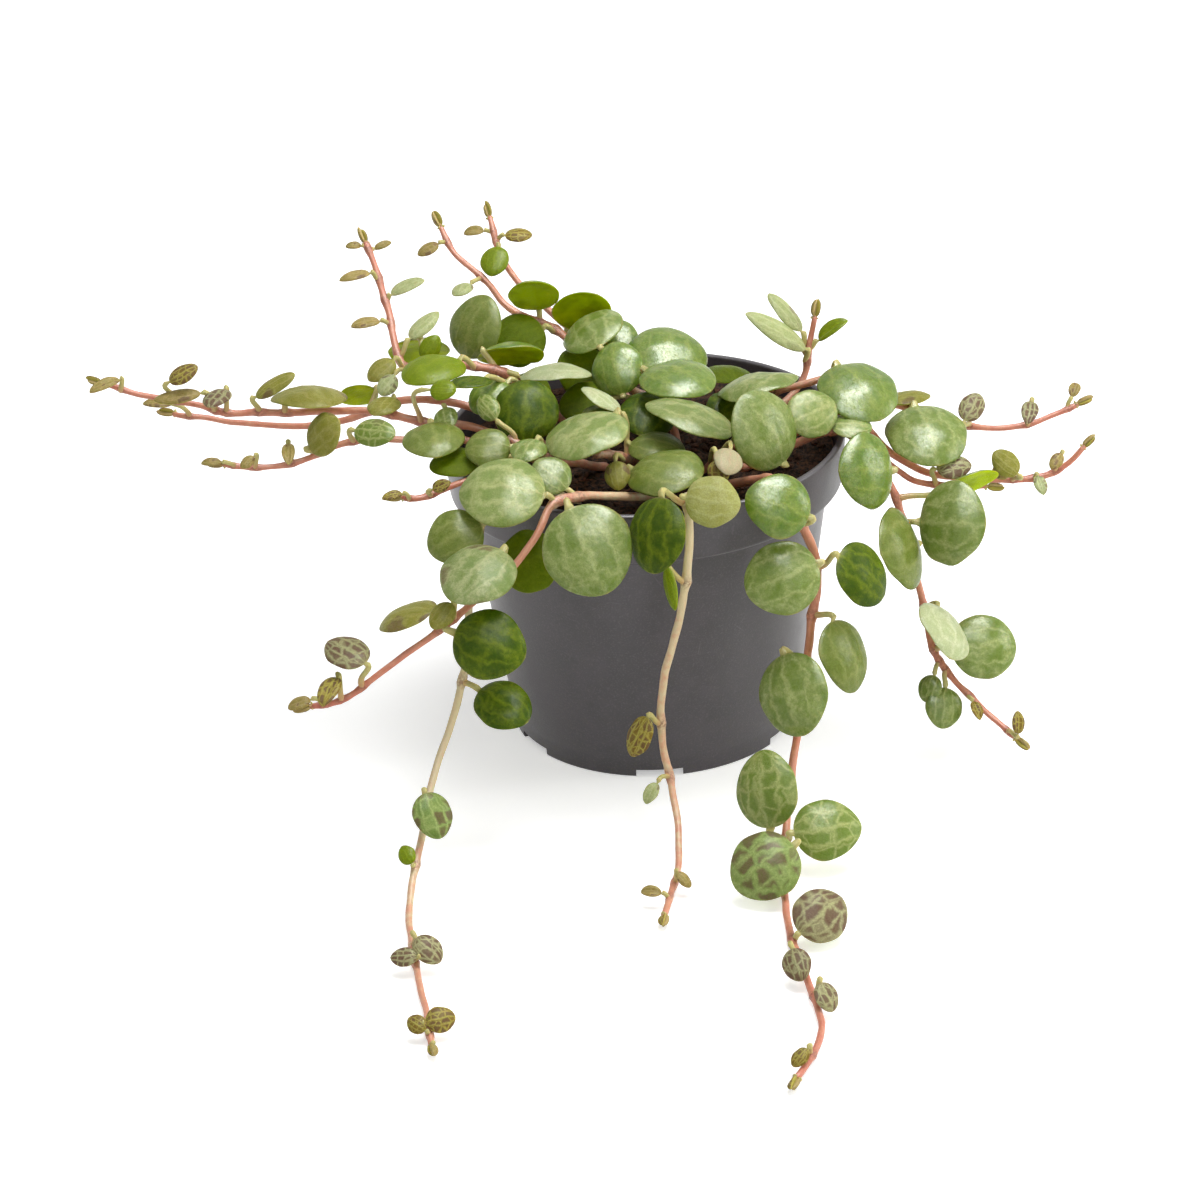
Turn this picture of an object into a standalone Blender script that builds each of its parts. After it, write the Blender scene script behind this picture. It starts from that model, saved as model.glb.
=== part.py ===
"""A string of turtles, a small trailing plant with round fleshy leaves, in a black nursery pot.

The origin is on the pot's axis, at the surface that the pot stands on. +Z is up and -Y is the front.
Places and sizes in the tables are in millimetres.
"""

import math

import bmesh
import bpy
from mathutils import Matrix, Vector

MM = 0.001  # metres in a millimetre

# The pot
RIM_RADIUS = 30.0
POT_HEIGHT = 47.0
BAND_HEIGHT = 7.8
BAND_FOOT_RADIUS = 29.4
BODY_TOP_RADIUS = 27.2
BODY_FOOT_RADIUS = 21.8
STEP_HEIGHT = 0.8  # height of the slope under the rim band
LIP_BEVEL = 0.25
FOOT_BEVEL = 0.4
WALL = 1.0
FOOT_HEIGHT = 1.2
FLOOR = 1.2
FOOT_RING_WIDTH = 2.6
PAD_RADIUS = 5.0
FEET = 6
NOTCH_WIDTH = 7.0
NOTCH_LENGTH = 9.0
DRAIN_HOLES = 6
DRAIN_RADIUS = 1.8
DRAIN_CIRCLE = 14.0
POT_SIDES = 48

# The soil
SOIL_LEVEL = 42.6
SOIL_RISE_AT_BACK = 1.0
SOIL_SIDES = 32
SOIL_RINGS = 4

# Clearances between neighbouring pieces
GAP = 0.3
STEM_TO_SOIL = 0.45
LEAF_TO_STEM = 0.35
SOIL_TO_WALL = 0.4
SOIL_TO_STEP = 0.7

# Leaves
LEAF_THICKNESS = 1.1
YOUNG_LEAF_THICKNESS = 0.8
STALK_RADIUS = 0.4
YOUNG_STALK_RADIUS = 0.28
LEAF_DOME = 0.07  # rise of the middle of a blade, as a share of its width
STALK_BEND = 0.4  # how far a stalk keeps its first direction, as a share of its length
BIG_YOUNG_LEAF = 7.5  # a young leaf longer than this is as thick as a full-grown one
LEAF_SIDES = 6

# Stems
STEM_STEP = 4.2  # distance between the points of a stem's tube
STEM_SIDES_RESOLUTION = 1

# Each stem: its radius at the soil and at the tip, then the points that it passes through. The
# first point has no height, because the stem starts on the soil there.
STEMS = {
    "stem_up_left": (0.7, 0.45, [
        (-9, 6), (-15, 7.5, 49), (-20.5, 6, 54.5), (-28, 7, 55.8), (-35.5, 9, 55),
        (-37, 13, 58.5), (-38, 17, 62), (-39.8, 21, 67.2), (-41, 23, 70),
    ]),
    "stem_up_back": (0.7, 0.4, [
        (-4, 10), (-8, 16, 50), (-12.2, 20, 54.8), (-20, 24, 57.8), (-23, 26, 61.2),
        (-28, 29, 65.2), (-30, 32, 68.7),
    ]),
    "stem_up_centre": (0.65, 0.4, [
        (-1, 16), (-8, 23, 51), (-14, 27, 56), (-18.3, 28.5, 59.8), (-21.3, 32, 64.6),
        (-22.5, 35, 68.7),
    ]),
    "stem_up_right": (0.6, 0.4, [
        (16, 7), (21, 9.5, 46), (24.6, 12, 49), (25.4, 13, 53), (26.5, 14, 58.3),
    ]),
    "stem_left_high": (0.7, 0.4, [
        (-14, -3), (-23, -2, 48.5), (-31.7, 0, 49.6), (-41.3, 2, 51.2), (-54.5, 5, 50.3),
        (-62.4, 6.5, 50), (-67.4, 7.5, 51.1), (-76.5, 9, 52.8), (-81.5, 10, 54.3),
    ]),
    "stem_left_low": (0.7, 0.4, [
        (-13, 2.5), (-24, 3.2, 49.8), (-34.9, 4.5, 51.6), (-44.8, 6.5, 47.9),
        (-53.1, 8, 46.6), (-62.6, 11, 46.5), (-71.5, 13, 47.5),
    ]),
    "stem_left_front": (0.6, 0.4, [
        (-16, -6.5), (-25, -5.2, 48.4), (-33, -4.6, 49), (-42.9, -4, 49.1), (-49.6, -5, 47.1),
        (-56.4, -5, 45.9), (-62.5, -5, 46.7),
    ]),
    "stem_left_short": (0.55, 0.4, [
        (-14, -11), (-20.5, -15, 47.2), (-25.5, -17.4, 48.1), (-32.3, -19, 46.3),
        (-35.5, -20, 47),
    ]),
    "stem_right_high": (0.65, 0.4, [
        (15.5, 3.5), (23, 3.8, 46.8), (30.5, 4, 48.5), (40, 4.5, 46.5), (48.8, 5, 43),
        (57.8, 6, 42.2), (65.6, 7, 44.9),
    ]),
    "stem_right_mid": (0.7, 0.4, [
        (14, 0.8), (22, 0.6, 46.5), (30, -0.2, 48.4), (37.4, -2, 41.6), (44.4, -3, 38.6),
        (55.5, -3, 37.4), (62, -3, 39.2), (65.3, -3, 42.5),
    ]),
    "stem_right_low": (0.6, 0.4, [
        (13, -2.3), (22, -2.9, 46.5), (29.8, -3.4, 48.3), (36.8, -5.2, 41.2),
        (41.2, -6, 38.9), (50.7, -6.2, 38),
    ]),
    "stem_right_hanging": (0.7, 0.4, [
        (14, -6), (22, -6.2, 46.3), (29.3, -7, 48.3), (34.8, -8.2, 42), (37.2, -9.6, 36.6),
        (39.8, -12, 24.8), (41.6, -15.5, 16), (44.9, -17.5, 11.3), (50.3, -22, 6.8), (53, -25, 5.4),
    ]),
    "stem_front_left": (0.7, 0.4, [
        (3, -13), (-2, -19, 45), (-9, -24.3, 47.8), (-13.4, -28, 48.5), (-17, -31.5, 43.5),
        (-25.2, -34, 36.6), (-34.9, -36, 30.1), (-44, -38, 24.5), (-49.3, -39, 23.8),
    ]),
    "stem_trailing_left": (0.65, 0.45, [
        (-10, -14), (-17, -19, 47.2), (-21.5, -22.5, 48.4), (-25, -26, 41.5),
        (-26.5, -30, 31), (-27, -33, 26), (-29.6, -36, 18.5), (-32.6, -42, 12), (-34.2, -48, 6.7),
        (-35.9, -58.6, 1.5), (-34.5, -72, 1.1), (-32.4, -86, 1.1), (-31.6, -92.5, 1.1),
    ]),
    "stem_trailing_middle": (0.7, 0.45, [
        (6, -17), (5.7, -23.5, 45.5), (5.6, -28.2, 48.7), (5.7, -32, 46.2), (5.4, -32.8, 41),
        (3.9, -33, 32.3), (1.2, -34, 23), (0.6, -35, 14.4), (2, -40, 6), (2.3, -47.5, 1.9),
        (1.2, -55, 1.1), (-0.2, -63, 1.1),
    ]),
    "stem_trailing_right": (0.75, 0.45, [
        (12, -11), (16, -18.6, 46.6), (18.6, -24, 48.5), (22, -26.2, 42.5), (24, -26, 35),
        (22.5, -27.8, 25.5), (20, -33, 12), (18, -43, 5), (16.8, -55, 1.4), (17, -69, 1.1),
        (19.2, -85, 1.1), (19.6, -94, 1.1), (15.8, -104, 1.1),
    ]),
    "stem_crown_left": (0.7, 0.5, [
        (-6, -3), (-10, -9, 46), (-15, -12.5, 49), (-20, -10.5, 51.4),
    ]),
    "stem_crown_middle": (0.7, 0.5, [
        (-0.5, -4.5), (-2, -8, 45.8), (-4.6, -11.6, 48.2), (-7.4, -13.6, 49.6),
    ]),
    "stem_crown_back": (0.7, 0.5, [
        (5, 2), (4, 3.2, 46.8), (1, 4.5, 49.5), (-3.2, 8.4, 51.8), (-5, 11, 53.6),
    ]),
    "stem_crown_right": (0.7, 0.5, [
        (8.5, -6.5), (12, -8.5, 47), (16, -9.5, 48.6), (19.5, -10.2, 48.8),
    ]),
    "stem_crown_far_right": (0.7, 0.5, [
        (11, 7), (16.5, 8, 47.6), (23.5, 6.5, 50.2), (29, 5.8, 52),
    ]),
}

# Each full-grown leaf, by the stem that it grows on. A row gives where it leaves the stem (2.5 is
# halfway from point 2 to point 3 of the route), the middle of its blade, the way its upper side
# faces (degrees round from the front towards +X, degrees up), and its length and width.
LEAVES = {
    "stem_up_left": [
        (3.4, (-24.8, 16, 58.2), (-35, 30), 10.0, 9.4),
        (3.6, (-33.8, 17, 54.1), (180, 46), 10.6, 9.4),
        (2.6, (-30.8, 1, 57.8), (0, 86), 10.2, 9.0),
        (2.0, (-12.8, 4.8, 54.5), (180, 76), 10.8, 10.4),
        (2.2, (-19.4, 9.6, 56.0), (180, 50), 10.2, 10.0),
    ],
    "stem_up_back": [
        (2.1, (-18.7, 17, 55.2), (-10, 45), 8.8, 8.8),
        (1.6, (-8.6, 21.5, 57.8), (180, 28), 9.2, 9.0),
        (2.4, (-15.9, 21, 61), (180, 36), 8.2, 7.8),
    ],
    "stem_left_front": [
        (1.8, (-30.6, -12, 52.4), (-10, 84), 9.8, 9.2),
        (3.7, (-47, -8, 52.2), (-45, 26), 7.0, 6.4),
    ],
    "stem_left_high": [
        (3.9, (-49, -1.5, 55.2), (170, 78), 12.2, 11.4),
    ],
    "stem_crown_left": [
        (2.6, (-17.2, -5, 53.2), (0, 40), 9.6, 9.6),
        (1.8, (-22.7, -15.5, 52.2), (-5, 50), 6.6, 6.4),
        (2.4, (-27.7, -14.6, 49.9), (-10, 78), 7.4, 7.0),
    ],
    "stem_crown_middle": [
        (2.9, (-8.4, -14.5, 53.2), (-53, 77), 12.6, 12.4),
        (0.9, (1.8, -9.6, 48.3), (10, 80), 8.4, 8.2),
    ],
    "stem_crown_back": [
        (1.5, (3.8, 10.5, 53.9), (15, 62), 12.6, 12.6),
        (3.9, (-7.2, 15, 57.1), (-75, 65), 10.8, 10.0),
        (2.0, (5.4, 0.8, 54.6), (10, 84), 11.6, 11.6),
        (2.8, (-3.6, 5.8, 54.7), (-20, 42), 8.6, 8.0),
    ],
    "stem_crown_right": [
        (1.2, (6.9, -7.5, 52.0), (98, 71), 13.8, 12.4),
        (1.9, (17.3, -12.8, 51.9), (35, 24), 12.0, 11.4),
        (2.6, (24.8, -7.8, 51.9), (20, 40), 8.0, 7.4),
    ],
    "stem_crown_far_right": [
        (1.5, (17, 2, 52.2), (-140, 73), 12.8, 12.6),
        (2.9, (32, -1.2, 52.2), (20, 68), 12.6, 12.2),
    ],
    "stem_right_high": [
        (3.0, (41.8, -3.8, 45.8), (10, 68), 12.6, 12.2),
    ],
    "stem_right_hanging": [
        (3.0, (32.2, -13.2, 44.8), (38, 26), 9.8, 11.4),
        (4.2, (44.4, -14.8, 36.4), (-32, 28), 10.6, 12.6),
        (4.5, (36.8, -16.8, 33.6), (67, 25), 12.0, 12.4),
        (6.0, (48.9, -17, 16.9), (10, 35), 10.0, 9.6),
    ],
    "stem_front_left": [
        (0.5, (2.9, -18.8, 48.6), (-40, 75), 11.4, 11.0),
        (2.9, (-20.6, -27, 50.4), (-10, 60), 12.4, 11.8),
        (2.6, (-8.6, -36.2, 45), (0, 32), 13.2, 12.8),
        (4.6, (-24.3, -38, 43), (-5, 66), 11.4, 10.8),
    ],
    "stem_trailing_middle": [
        (2.3, (1.0, -36, 46.8), (-42, 26), 10.8, 10.0),
    ],
    "stem_trailing_right": [
        (3.9, (18.6, -31.5, 37), (-5, 30), 11.0, 10.6),
        (5.3, (19.6, -36.5, 20.8), (-35, 28), 12.2, 11.2),
    ],
}

# The smaller leaves, which are one piece with their stem. The rows are laid out as above.
YOUNG_LEAVES = {
    "stem_up_left": [
        (1.7, (-25.2, -3.2, 57.4), (180, 78), 7.0, 6.6),
        (6.6, (-42.6, 18, 66.5), (0, 74), 4.8, 2.2),
        (6.1, (-34.8, 18.6, 64.2), (-20, 70), 5.6, 2.8),
        (5.4, (-41.2, 13.4, 60.6), (0, 70), 4.4, 2.4),
        (4.4, (-32.4, 13.4, 60), (-20, 62), 6.2, 3.2),
        (7.6, (-38.4, 23.4, 69.2), (0, 60), 2.8, 1.4),
        (7.8, (-42.8, 22.6, 69.6), (0, 60), 2.4, 1.4),
        (3.7, (-31.4, 9, 58), (0, 20), 4.2, 3.2),
        (4.0, (-38.8, 5.6, 56.2), (-20, 60), 5.0, 4.0),
        (3.9, (-37.8, 3, 54.8), (0, 50), 3.8, 3.0),
        (1.6, (-17.4, 10.6, 49.4), (0, 60), 8.0, 7.6),
        (1.4, (-22.6, 0.2, 53.4), (-10, 60), 7.0, 6.8),
    ],
    "stem_up_back": [
        (5.4, (-32, 29.2, 66), (-30, 60), 3.6, 2.6),
        (4.2, (-26.8, 23, 61.6), (0, 80), 4.0, 3.0),
    ],
    "stem_up_centre": [
        (3.8, (-21.8, 27.4, 64.2), (-10, 50), 5.2, 4.4),
        (4.2, (-18, 32, 66.6), (0, 70), 4.2, 3.2),
        (4.5, (-25, 33.6, 66.8), (-20, 60), 3.2, 2.0),
    ],
    "stem_up_right": [
        (2.6, (20.6, 12, 57), (61, 51), 10.8, 5.0),
        (2.9, (22.2, 15.4, 58.6), (55, 50), 7.6, 3.8),
        (3.1, (29, 12.8, 56.4), (-60, 50), 5.4, 3.0),
    ],
    "stem_left_high": [
        (7.3, (-80.4, 7.4, 55), (0, 70), 5.0, 2.2),
        (6.3, (-68.2, 5.2, 57.2), (-20, 50), 4.8, 3.2),
        (5.0, (-63.4, 3.6, 53.8), (0, 84), 5.6, 4.0),
        (4.3, (-54.7, 4.6, 55), (-40, 56), 6.8, 3.4),
        (5.35, (-69.4, 4.6, 53.9), (-5, 66), 7.0, 2.8),
        (2.65, (-38.4, -0.4, 53), (-5, 84), 5.6, 5.0),
        (2.15, (-29, -8, 58.4), (-20, 50), 4.0, 3.4),
        (1.6, (-29.1, -5, 52.5), (-30, 60), 4.4, 3.8),
    ],
    "stem_left_low": [
        (2.6, (-42.8, 9.6, 50.6), (180, 34), 6.2, 5.6),
        (5.7, (-73.6, 12.2, 49.6), (0, 70), 4.4, 2.2),
    ],
    "stem_left_front": [
        (3.0, (-39.4, -8.6, 52.4), (-30, 50), 6.8, 4.6),
        (4.4, (-52.2, -8.4, 49.6), (0, 76), 4.8, 2.0),
        (5.2, (-58.4, -7.8, 48.2), (0, 50), 2.6, 1.8),
        (5.7, (-64, -5.6, 47.4), (0, 60), 3.0, 1.5),
    ],
    "stem_left_short": [
        (2.8, (-29.4, -21.8, 49.4), (-20, 30), 2.9, 1.9),
        (3.6, (-36.6, -21, 47.8), (0, 60), 3.0, 1.6),
    ],
    "stem_right_high": [
        (2.6, (39.6, 5.6, 47.9), (180, 84), 7.6, 5.6),
        (4.0, (49, 1.6, 47.6), (0, 50), 5.0, 3.8),
        (5.0, (57.8, 3.2, 45.6), (10, 66), 4.6, 2.6),
        (5.8, (65.2, 8.6, 46.6), (10, 60), 2.8, 1.8),
    ],
    "stem_right_mid": [
        (4.9, (53.2, -6.4, 41.8), (10, 30), 4.8, 3.8),
        (5.3, (58.4, -6.4, 38), (0, 60), 3.4, 2.0),
        (5.8, (60.8, -5.6, 41.4), (0, 50), 3.0, 2.0),
    ],
    "stem_right_low": [
        (4.2, (45.4, -8, 42.4), (0, 60), 5.2, 4.2),
        (4.8, (52.8, -5.4, 40), (20, 50), 3.2, 2.6),
    ],
    "stem_right_hanging": [
        (1.75, (30.5, -7.2, 49.4), (18, 74), 6.0, 5.8),
        (3.8, (47.8, -9, 40.2), (200, 36), 8.4, 6.4),
        (5.3, (42.8, -20.4, 21.6), (78, 46), 11.0, 9.8),
        (7.3, (47.4, -21, 8.4), (20, 50), 3.0, 1.8),
        (6.6, (42.6, -20.2, 8.6), (10, 35), 6.2, 5.6),
        (6.3, (40.6, -18.4, 11), (-30, 35), 4.2, 3.8),
        (8.5, (53, -26, 8.8), (20, 30), 3.4, 2.0),
    ],
    "stem_front_left": [
        (2.2, (-13.6, -22.8, 50.8), (10, 50), 6.2, 5.8),
        (5.5, (-35, -33, 34.4), (-99, 66), 9.8, 8.0),
        (5.3, (-29.6, -38.4, 37), (-10, 50), 4.6, 3.6),
        (6.7, (-43.5, -37.6, 31.6), (0, 72), 7.2, 6.0),
        (7.1, (-46, -41.6, 27.6), (-20, 70), 5.6, 3.2),
        (7.6, (-50.6, -40.2, 25), (-20, 60), 3.4, 2.2),
    ],
    "stem_trailing_left": [
        (2.8, (-27.6, -28.8, 44.4), (-10, 35), 8.4, 8.0),
        (3.6, (-17.0, -29.2, 40.4), (-10, 26), 9.4, 9.0),
        (4.3, (-23, -41.4, 33.6), (-5, 32), 10.6, 10.0),
        (5.3, (-21.8, -39, 22.6), (-10, 58), 9.0, 7.6),
        (7.6, (-32.2, -49, 10.8), (20, 35), 6.8, 5.8),
        (8.4, (-36.2, -52, 6.4), (-20, 40), 3.0, 2.6),
        (9.7, (-32.6, -72.6, 3.5), (10, 50), 4.8, 3.8),
        (10.0, (-36, -73.2, 2.9), (-20, 52), 3.8, 2.8),
        (11.2, (-30.4, -89, 2.9), (10, 48), 4.0, 3.6),
        (11.5, (-33.6, -89.4, 2.6), (-15, 48), 3.0, 2.6),
    ],
    "stem_trailing_middle": [
        (2.2, (9.2, -33, 50.2), (0, 32), 7.8, 7.4),
        (4.4, (2.6, -35.6, 38.2), (-50, 20), 6.4, 2.4),
        (6.8, (-2.8, -37.4, 15.6), (-45, 28), 6.2, 4.6),
        (7.6, (-1.4, -41.6, 8.6), (-20, 40), 3.4, 2.2),
        (9.9, (2.8, -55.8, 2.6), (40, 50), 2.8, 1.9),
        (10.4, (-2.0, -58.4, 2.4), (-20, 55), 3.0, 1.8),
    ],
    "stem_trailing_right": [
        (2.9, (18.4, -29.6, 47.6), (10, 35), 9.6, 9.2),
        (3.9, (30.4, -28.6, 35.4), (48, 26), 10.2, 9.4),
        (4.7, (27.4, -31.6, 24), (52, 24), 10.8, 10.0),
        (6.8, (15, -45, 10.4), (-34, 28), 11.2, 9.8),
        (7.4, (23.4, -50, 6.3), (10, 45), 9.8, 9.0),
        (7.8, (14, -58, 5.4), (-10, 44), 10.2, 10.0),
        (9.1, (21.2, -69.4, 4.2), (20, 48), 8.2, 7.6),
        (9.4, (17.2, -80.4, 3.4), (-20, 48), 4.8, 4.0),
        (10.0, (20.8, -88, 3.0), (30, 48), 4.2, 3.4),
        (11.5, (16.4, -101.4, 2.7), (-20, 50), 3.0, 2.2),
    ],
    "stem_crown_left": [
        (2.8, (-22.7, -8, 55.3), (-30, 42), 4.8, 3.4),
        (2.0, (-16.8, -17.2, 52.4), (0, 80), 5.8, 5.4),
    ],
    "stem_crown_middle": [
        (1.7, (-4.2, -18.4, 48.2), (-10, 42), 4.4, 3.8),
        (2.2, (-6.6, -5, 51.4), (20, 70), 6.0, 5.6),
        (0.6, (0.7, -0.4, 49.8), (20, 62), 8.8, 8.4),
        (1.2, (-6.1, -4, 54.2), (95, 62), 6.6, 6.0),
    ],
    "stem_crown_back": [
        (2.8, (-7.8, 13, 51.4), (0, 60), 11.0, 10.4),
        (3.5, (-3.3, 17, 55.1), (10, 60), 6.8, 6.4),
        (2.3, (-8.6, 3.4, 50.2), (0, 50), 8.0, 7.6),
    ],
    "stem_crown_right": [
        (0.5, (10.4, -19.6, 48.4), (0, 30), 3.8, 3.2),
        (0.6, (11.9, -19.3, 50.1), (40, 60), 5.2, 4.4),
    ],
    "stem_crown_far_right": [
        (0.9, (12.4, 14.4, 49.2), (180, 80), 8.4, 8.0),
        (0.45, (12.5, 3.6, 48.2), (20, 62), 7.0, 6.6),
    ],
}

COLLECTION = "string_of_turtles"
CUTTERS = "cutters"


def clear_scene():
    for thing in list(bpy.data.objects):
        bpy.data.objects.remove(thing, do_unlink=True)


def collection(name):
    made = bpy.data.collections.new(name)
    bpy.context.scene.collection.children.link(made)
    return made


def material(name, colour, roughness, metallic=0.0):
    made = bpy.data.materials.new(name)
    made.use_nodes = True
    shader = made.node_tree.nodes["Principled BSDF"]
    shader.inputs["Base Color"].default_value = (*colour, 1.0)
    shader.inputs["Roughness"].default_value = roughness
    shader.inputs["Metallic"].default_value = metallic
    return made


def add_object(name, data, where, finish=None):
    made = bpy.data.objects.new(name, data)
    where.objects.link(made)
    if finish:
        data.materials.append(finish)
    return made


def mesh_from(name, build):
    """A mesh that build fills in, with its faces turned out."""
    shape = bmesh.new()
    build(shape)
    bmesh.ops.recalc_face_normals(shape, faces=shape.faces)
    if shape.calc_volume(signed=True) < 0:
        bmesh.ops.reverse_faces(shape, faces=shape.faces)
    mesh = bpy.data.meshes.new(name)
    shape.to_mesh(mesh)
    shape.free()
    return mesh


def smooth(mesh, angle=math.radians(40)):
    mesh.shade_smooth()
    mesh.set_sharp_from_angle(angle=angle)


def boolean(thing, other, operation):
    cut = thing.modifiers.new(operation.lower(), "BOOLEAN")
    cut.operation = operation
    cut.solver = "EXACT"
    cut.object = other
    return cut


def hidden(thing):
    thing.hide_render = True
    thing.display_type = "WIRE"


# Pot ------------------------------------------------------------------------------------------


def pot_profile():
    """The wall's section, down the outside from the lip and back up the inside."""
    band_foot = POT_HEIGHT - BAND_HEIGHT
    inner_step = band_foot - WALL
    return [
        (RIM_RADIUS - WALL, POT_HEIGHT),
        (RIM_RADIUS - LIP_BEVEL, POT_HEIGHT),
        (RIM_RADIUS, POT_HEIGHT - LIP_BEVEL),
        (BAND_FOOT_RADIUS, band_foot),
        (BODY_TOP_RADIUS, band_foot - STEP_HEIGHT),
        (BODY_FOOT_RADIUS, FOOT_HEIGHT),
        (BODY_FOOT_RADIUS - FOOT_BEVEL, 0),
        (BODY_FOOT_RADIUS - FOOT_RING_WIDTH, 0),
        (BODY_FOOT_RADIUS - FOOT_RING_WIDTH, FOOT_HEIGHT),
        (PAD_RADIUS, FOOT_HEIGHT),
        (PAD_RADIUS, 0),
        (0, 0),
        (0, FOOT_HEIGHT + FLOOR),
        (BODY_FOOT_RADIUS - WALL, FOOT_HEIGHT + FLOOR),
        (BODY_TOP_RADIUS - WALL, inner_step - STEP_HEIGHT),
        (BAND_FOOT_RADIUS - WALL, inner_step + WALL),
        (RIM_RADIUS - WALL, POT_HEIGHT),
    ]


def add_pot(parts, cutters, finish):
    """The profile turned once round, then notched under the foot ring and pierced in the floor."""
    mesh = bpy.data.meshes.new("pot")
    corners = [(x * MM, 0, z * MM) for x, z in pot_profile()[:-1]]
    edges = [(i, (i + 1) % len(corners)) for i in range(len(corners))]
    edges = [edge for edge in edges if any(corners[i][0] > 0 for i in edge)]
    mesh.from_pydata(corners, edges, [])
    pot = add_object("pot", mesh, parts, finish)
    screw = pot.modifiers.new("turn", "SCREW")
    screw.steps = POT_SIDES
    screw.render_steps = POT_SIDES
    screw.use_merge_vertices = True
    screw.merge_threshold = 0.00001

    notches = add_object("pot_notches", mesh_from("pot_notches", notch_boxes), cutters)
    holes = add_object("pot_drain_holes", mesh_from("pot_drain_holes", drain_cylinders), cutters)
    for cutter in (notches, holes):
        hidden(cutter)
        boolean(pot, cutter, "DIFFERENCE")
    return pot


def notch_boxes(shape):
    """A box through the foot ring between each two feet, open below and outwards."""
    for i in range(FEET):
        turn = 2 * math.pi * (i + 0.5) / FEET
        box = bmesh.ops.create_cube(shape, size=1)["verts"]
        size = (NOTCH_LENGTH * MM, NOTCH_WIDTH * MM, 2 * FOOT_HEIGHT * MM)
        bmesh.ops.scale(shape, vec=size, verts=box)
        bmesh.ops.translate(shape, vec=(BODY_FOOT_RADIUS * MM, 0, 0), verts=box)
        rotate_about_z(shape, box, turn)


def drain_cylinders(shape):
    for i in range(DRAIN_HOLES):
        turn = 2 * math.pi * i / DRAIN_HOLES
        hole = bmesh.ops.create_cone(
            shape, cap_ends=True, segments=12, radius1=DRAIN_RADIUS * MM,
            radius2=DRAIN_RADIUS * MM, depth=4 * FLOOR * MM,
        )["verts"]
        bmesh.ops.translate(shape, vec=(DRAIN_CIRCLE * MM, 0, (FOOT_HEIGHT + FLOOR) * MM), verts=hole)
        rotate_about_z(shape, hole, turn)


def rotate_about_z(shape, verts, turn):
    bmesh.ops.rotate(shape, cent=(0, 0, 0), matrix=Matrix.Rotation(turn, 3, "Z"), verts=verts)


# Soil -----------------------------------------------------------------------------------------


def soil_height(x, y):
    """The level of the soil: a little higher at the back, with low lumps."""
    lumps = 0.15 * math.sin(0.3 * x + 1.3) * math.cos(0.28 * y - 0.4)
    return SOIL_LEVEL + SOIL_RISE_AT_BACK * y / RIM_RADIUS + lumps


def inner_radius(height):
    """The pot's inside radius at a height."""
    step_top = POT_HEIGHT - BAND_HEIGHT
    step_foot = step_top - WALL - STEP_HEIGHT
    floor = FOOT_HEIGHT + FLOOR
    points = [
        (floor, BODY_FOOT_RADIUS - WALL), (step_foot, BODY_TOP_RADIUS - WALL),
        (step_top, BAND_FOOT_RADIUS - WALL), (POT_HEIGHT, RIM_RADIUS - WALL),
    ]
    for (low, near), (high, far) in zip(points, points[1:]):
        if height <= high:
            return near + (far - near) * (height - low) / (high - low)
    return RIM_RADIUS - WALL


def soil_plug(shape):
    """A disc drawn up the inside of the pot level by level, with its top inset into lumpy rings."""
    step_top = POT_HEIGHT - BAND_HEIGHT
    step_foot = step_top - WALL - STEP_HEIGHT
    levels = [
        (FOOT_HEIGHT + FLOOR + GAP, SOIL_TO_WALL), (step_foot, SOIL_TO_STEP),
        (step_top, SOIL_TO_STEP), (SOIL_LEVEL, SOIL_TO_WALL),
    ]
    rings = []
    for height, clear in levels:
        reach = inner_radius(height) - clear
        turns = ring_angles(SOIL_SIDES)
        rings.append([Vector((reach * math.cos(t), reach * math.sin(t), height)) for t in turns])
    top = loft(shape, rings)
    ring = inner_radius(SOIL_LEVEL) / (SOIL_RINGS + 1)
    for _ in range(SOIL_RINGS):
        bmesh.ops.inset_individual(shape, faces=[top], thickness=ring * MM)
    bmesh.ops.poke(shape, faces=[top])
    for vert in shape.verts:
        if vert.co.z > (SOIL_LEVEL - GAP) * MM:
            vert.co.z = soil_height(vert.co.x / MM, vert.co.y / MM) * MM


# Plant ----------------------------------------------------------------------------------------


def along(route, place):
    """A point on the smooth curve through the route's points, and the way that it heads."""
    points = [Vector(point) for point in route]
    last = len(points) - 1
    i = min(int(place), last - 1)
    t = place - i
    b, c = points[i], points[i + 1]
    a = points[i - 1] if i > 0 else 2 * b - c
    d = points[i + 2] if i + 2 <= last else 2 * c - b
    p1, p2, p3 = (c - a) / 2, a - 2.5 * b + 2 * c - d / 2, (3 * (b - c) + d - a) / 2
    where = b + p1 * t + p2 * t * t + p3 * t ** 3
    heading = p1 + 2 * p2 * t + 3 * p3 * t * t
    return where, heading.normalized()


def stem_radius(thick, thin, share):
    return thick + (thin - thick) * share


def rooted(name):
    """A stem's radii and route, with its first point set so that its cut end just clears the soil."""
    thick, thin, route = STEMS[name]
    (x, y), following = route[0], Vector(route[1])
    lean = (following - Vector((x, y, SOIL_LEVEL))).normalized()
    end_drop = thick * math.sqrt(1 - lean.z ** 2)
    root = (x, y, soil_height(x, y) + STEM_TO_SOIL + end_drop)
    return thick, thin, [root, *route[1:]]


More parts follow.
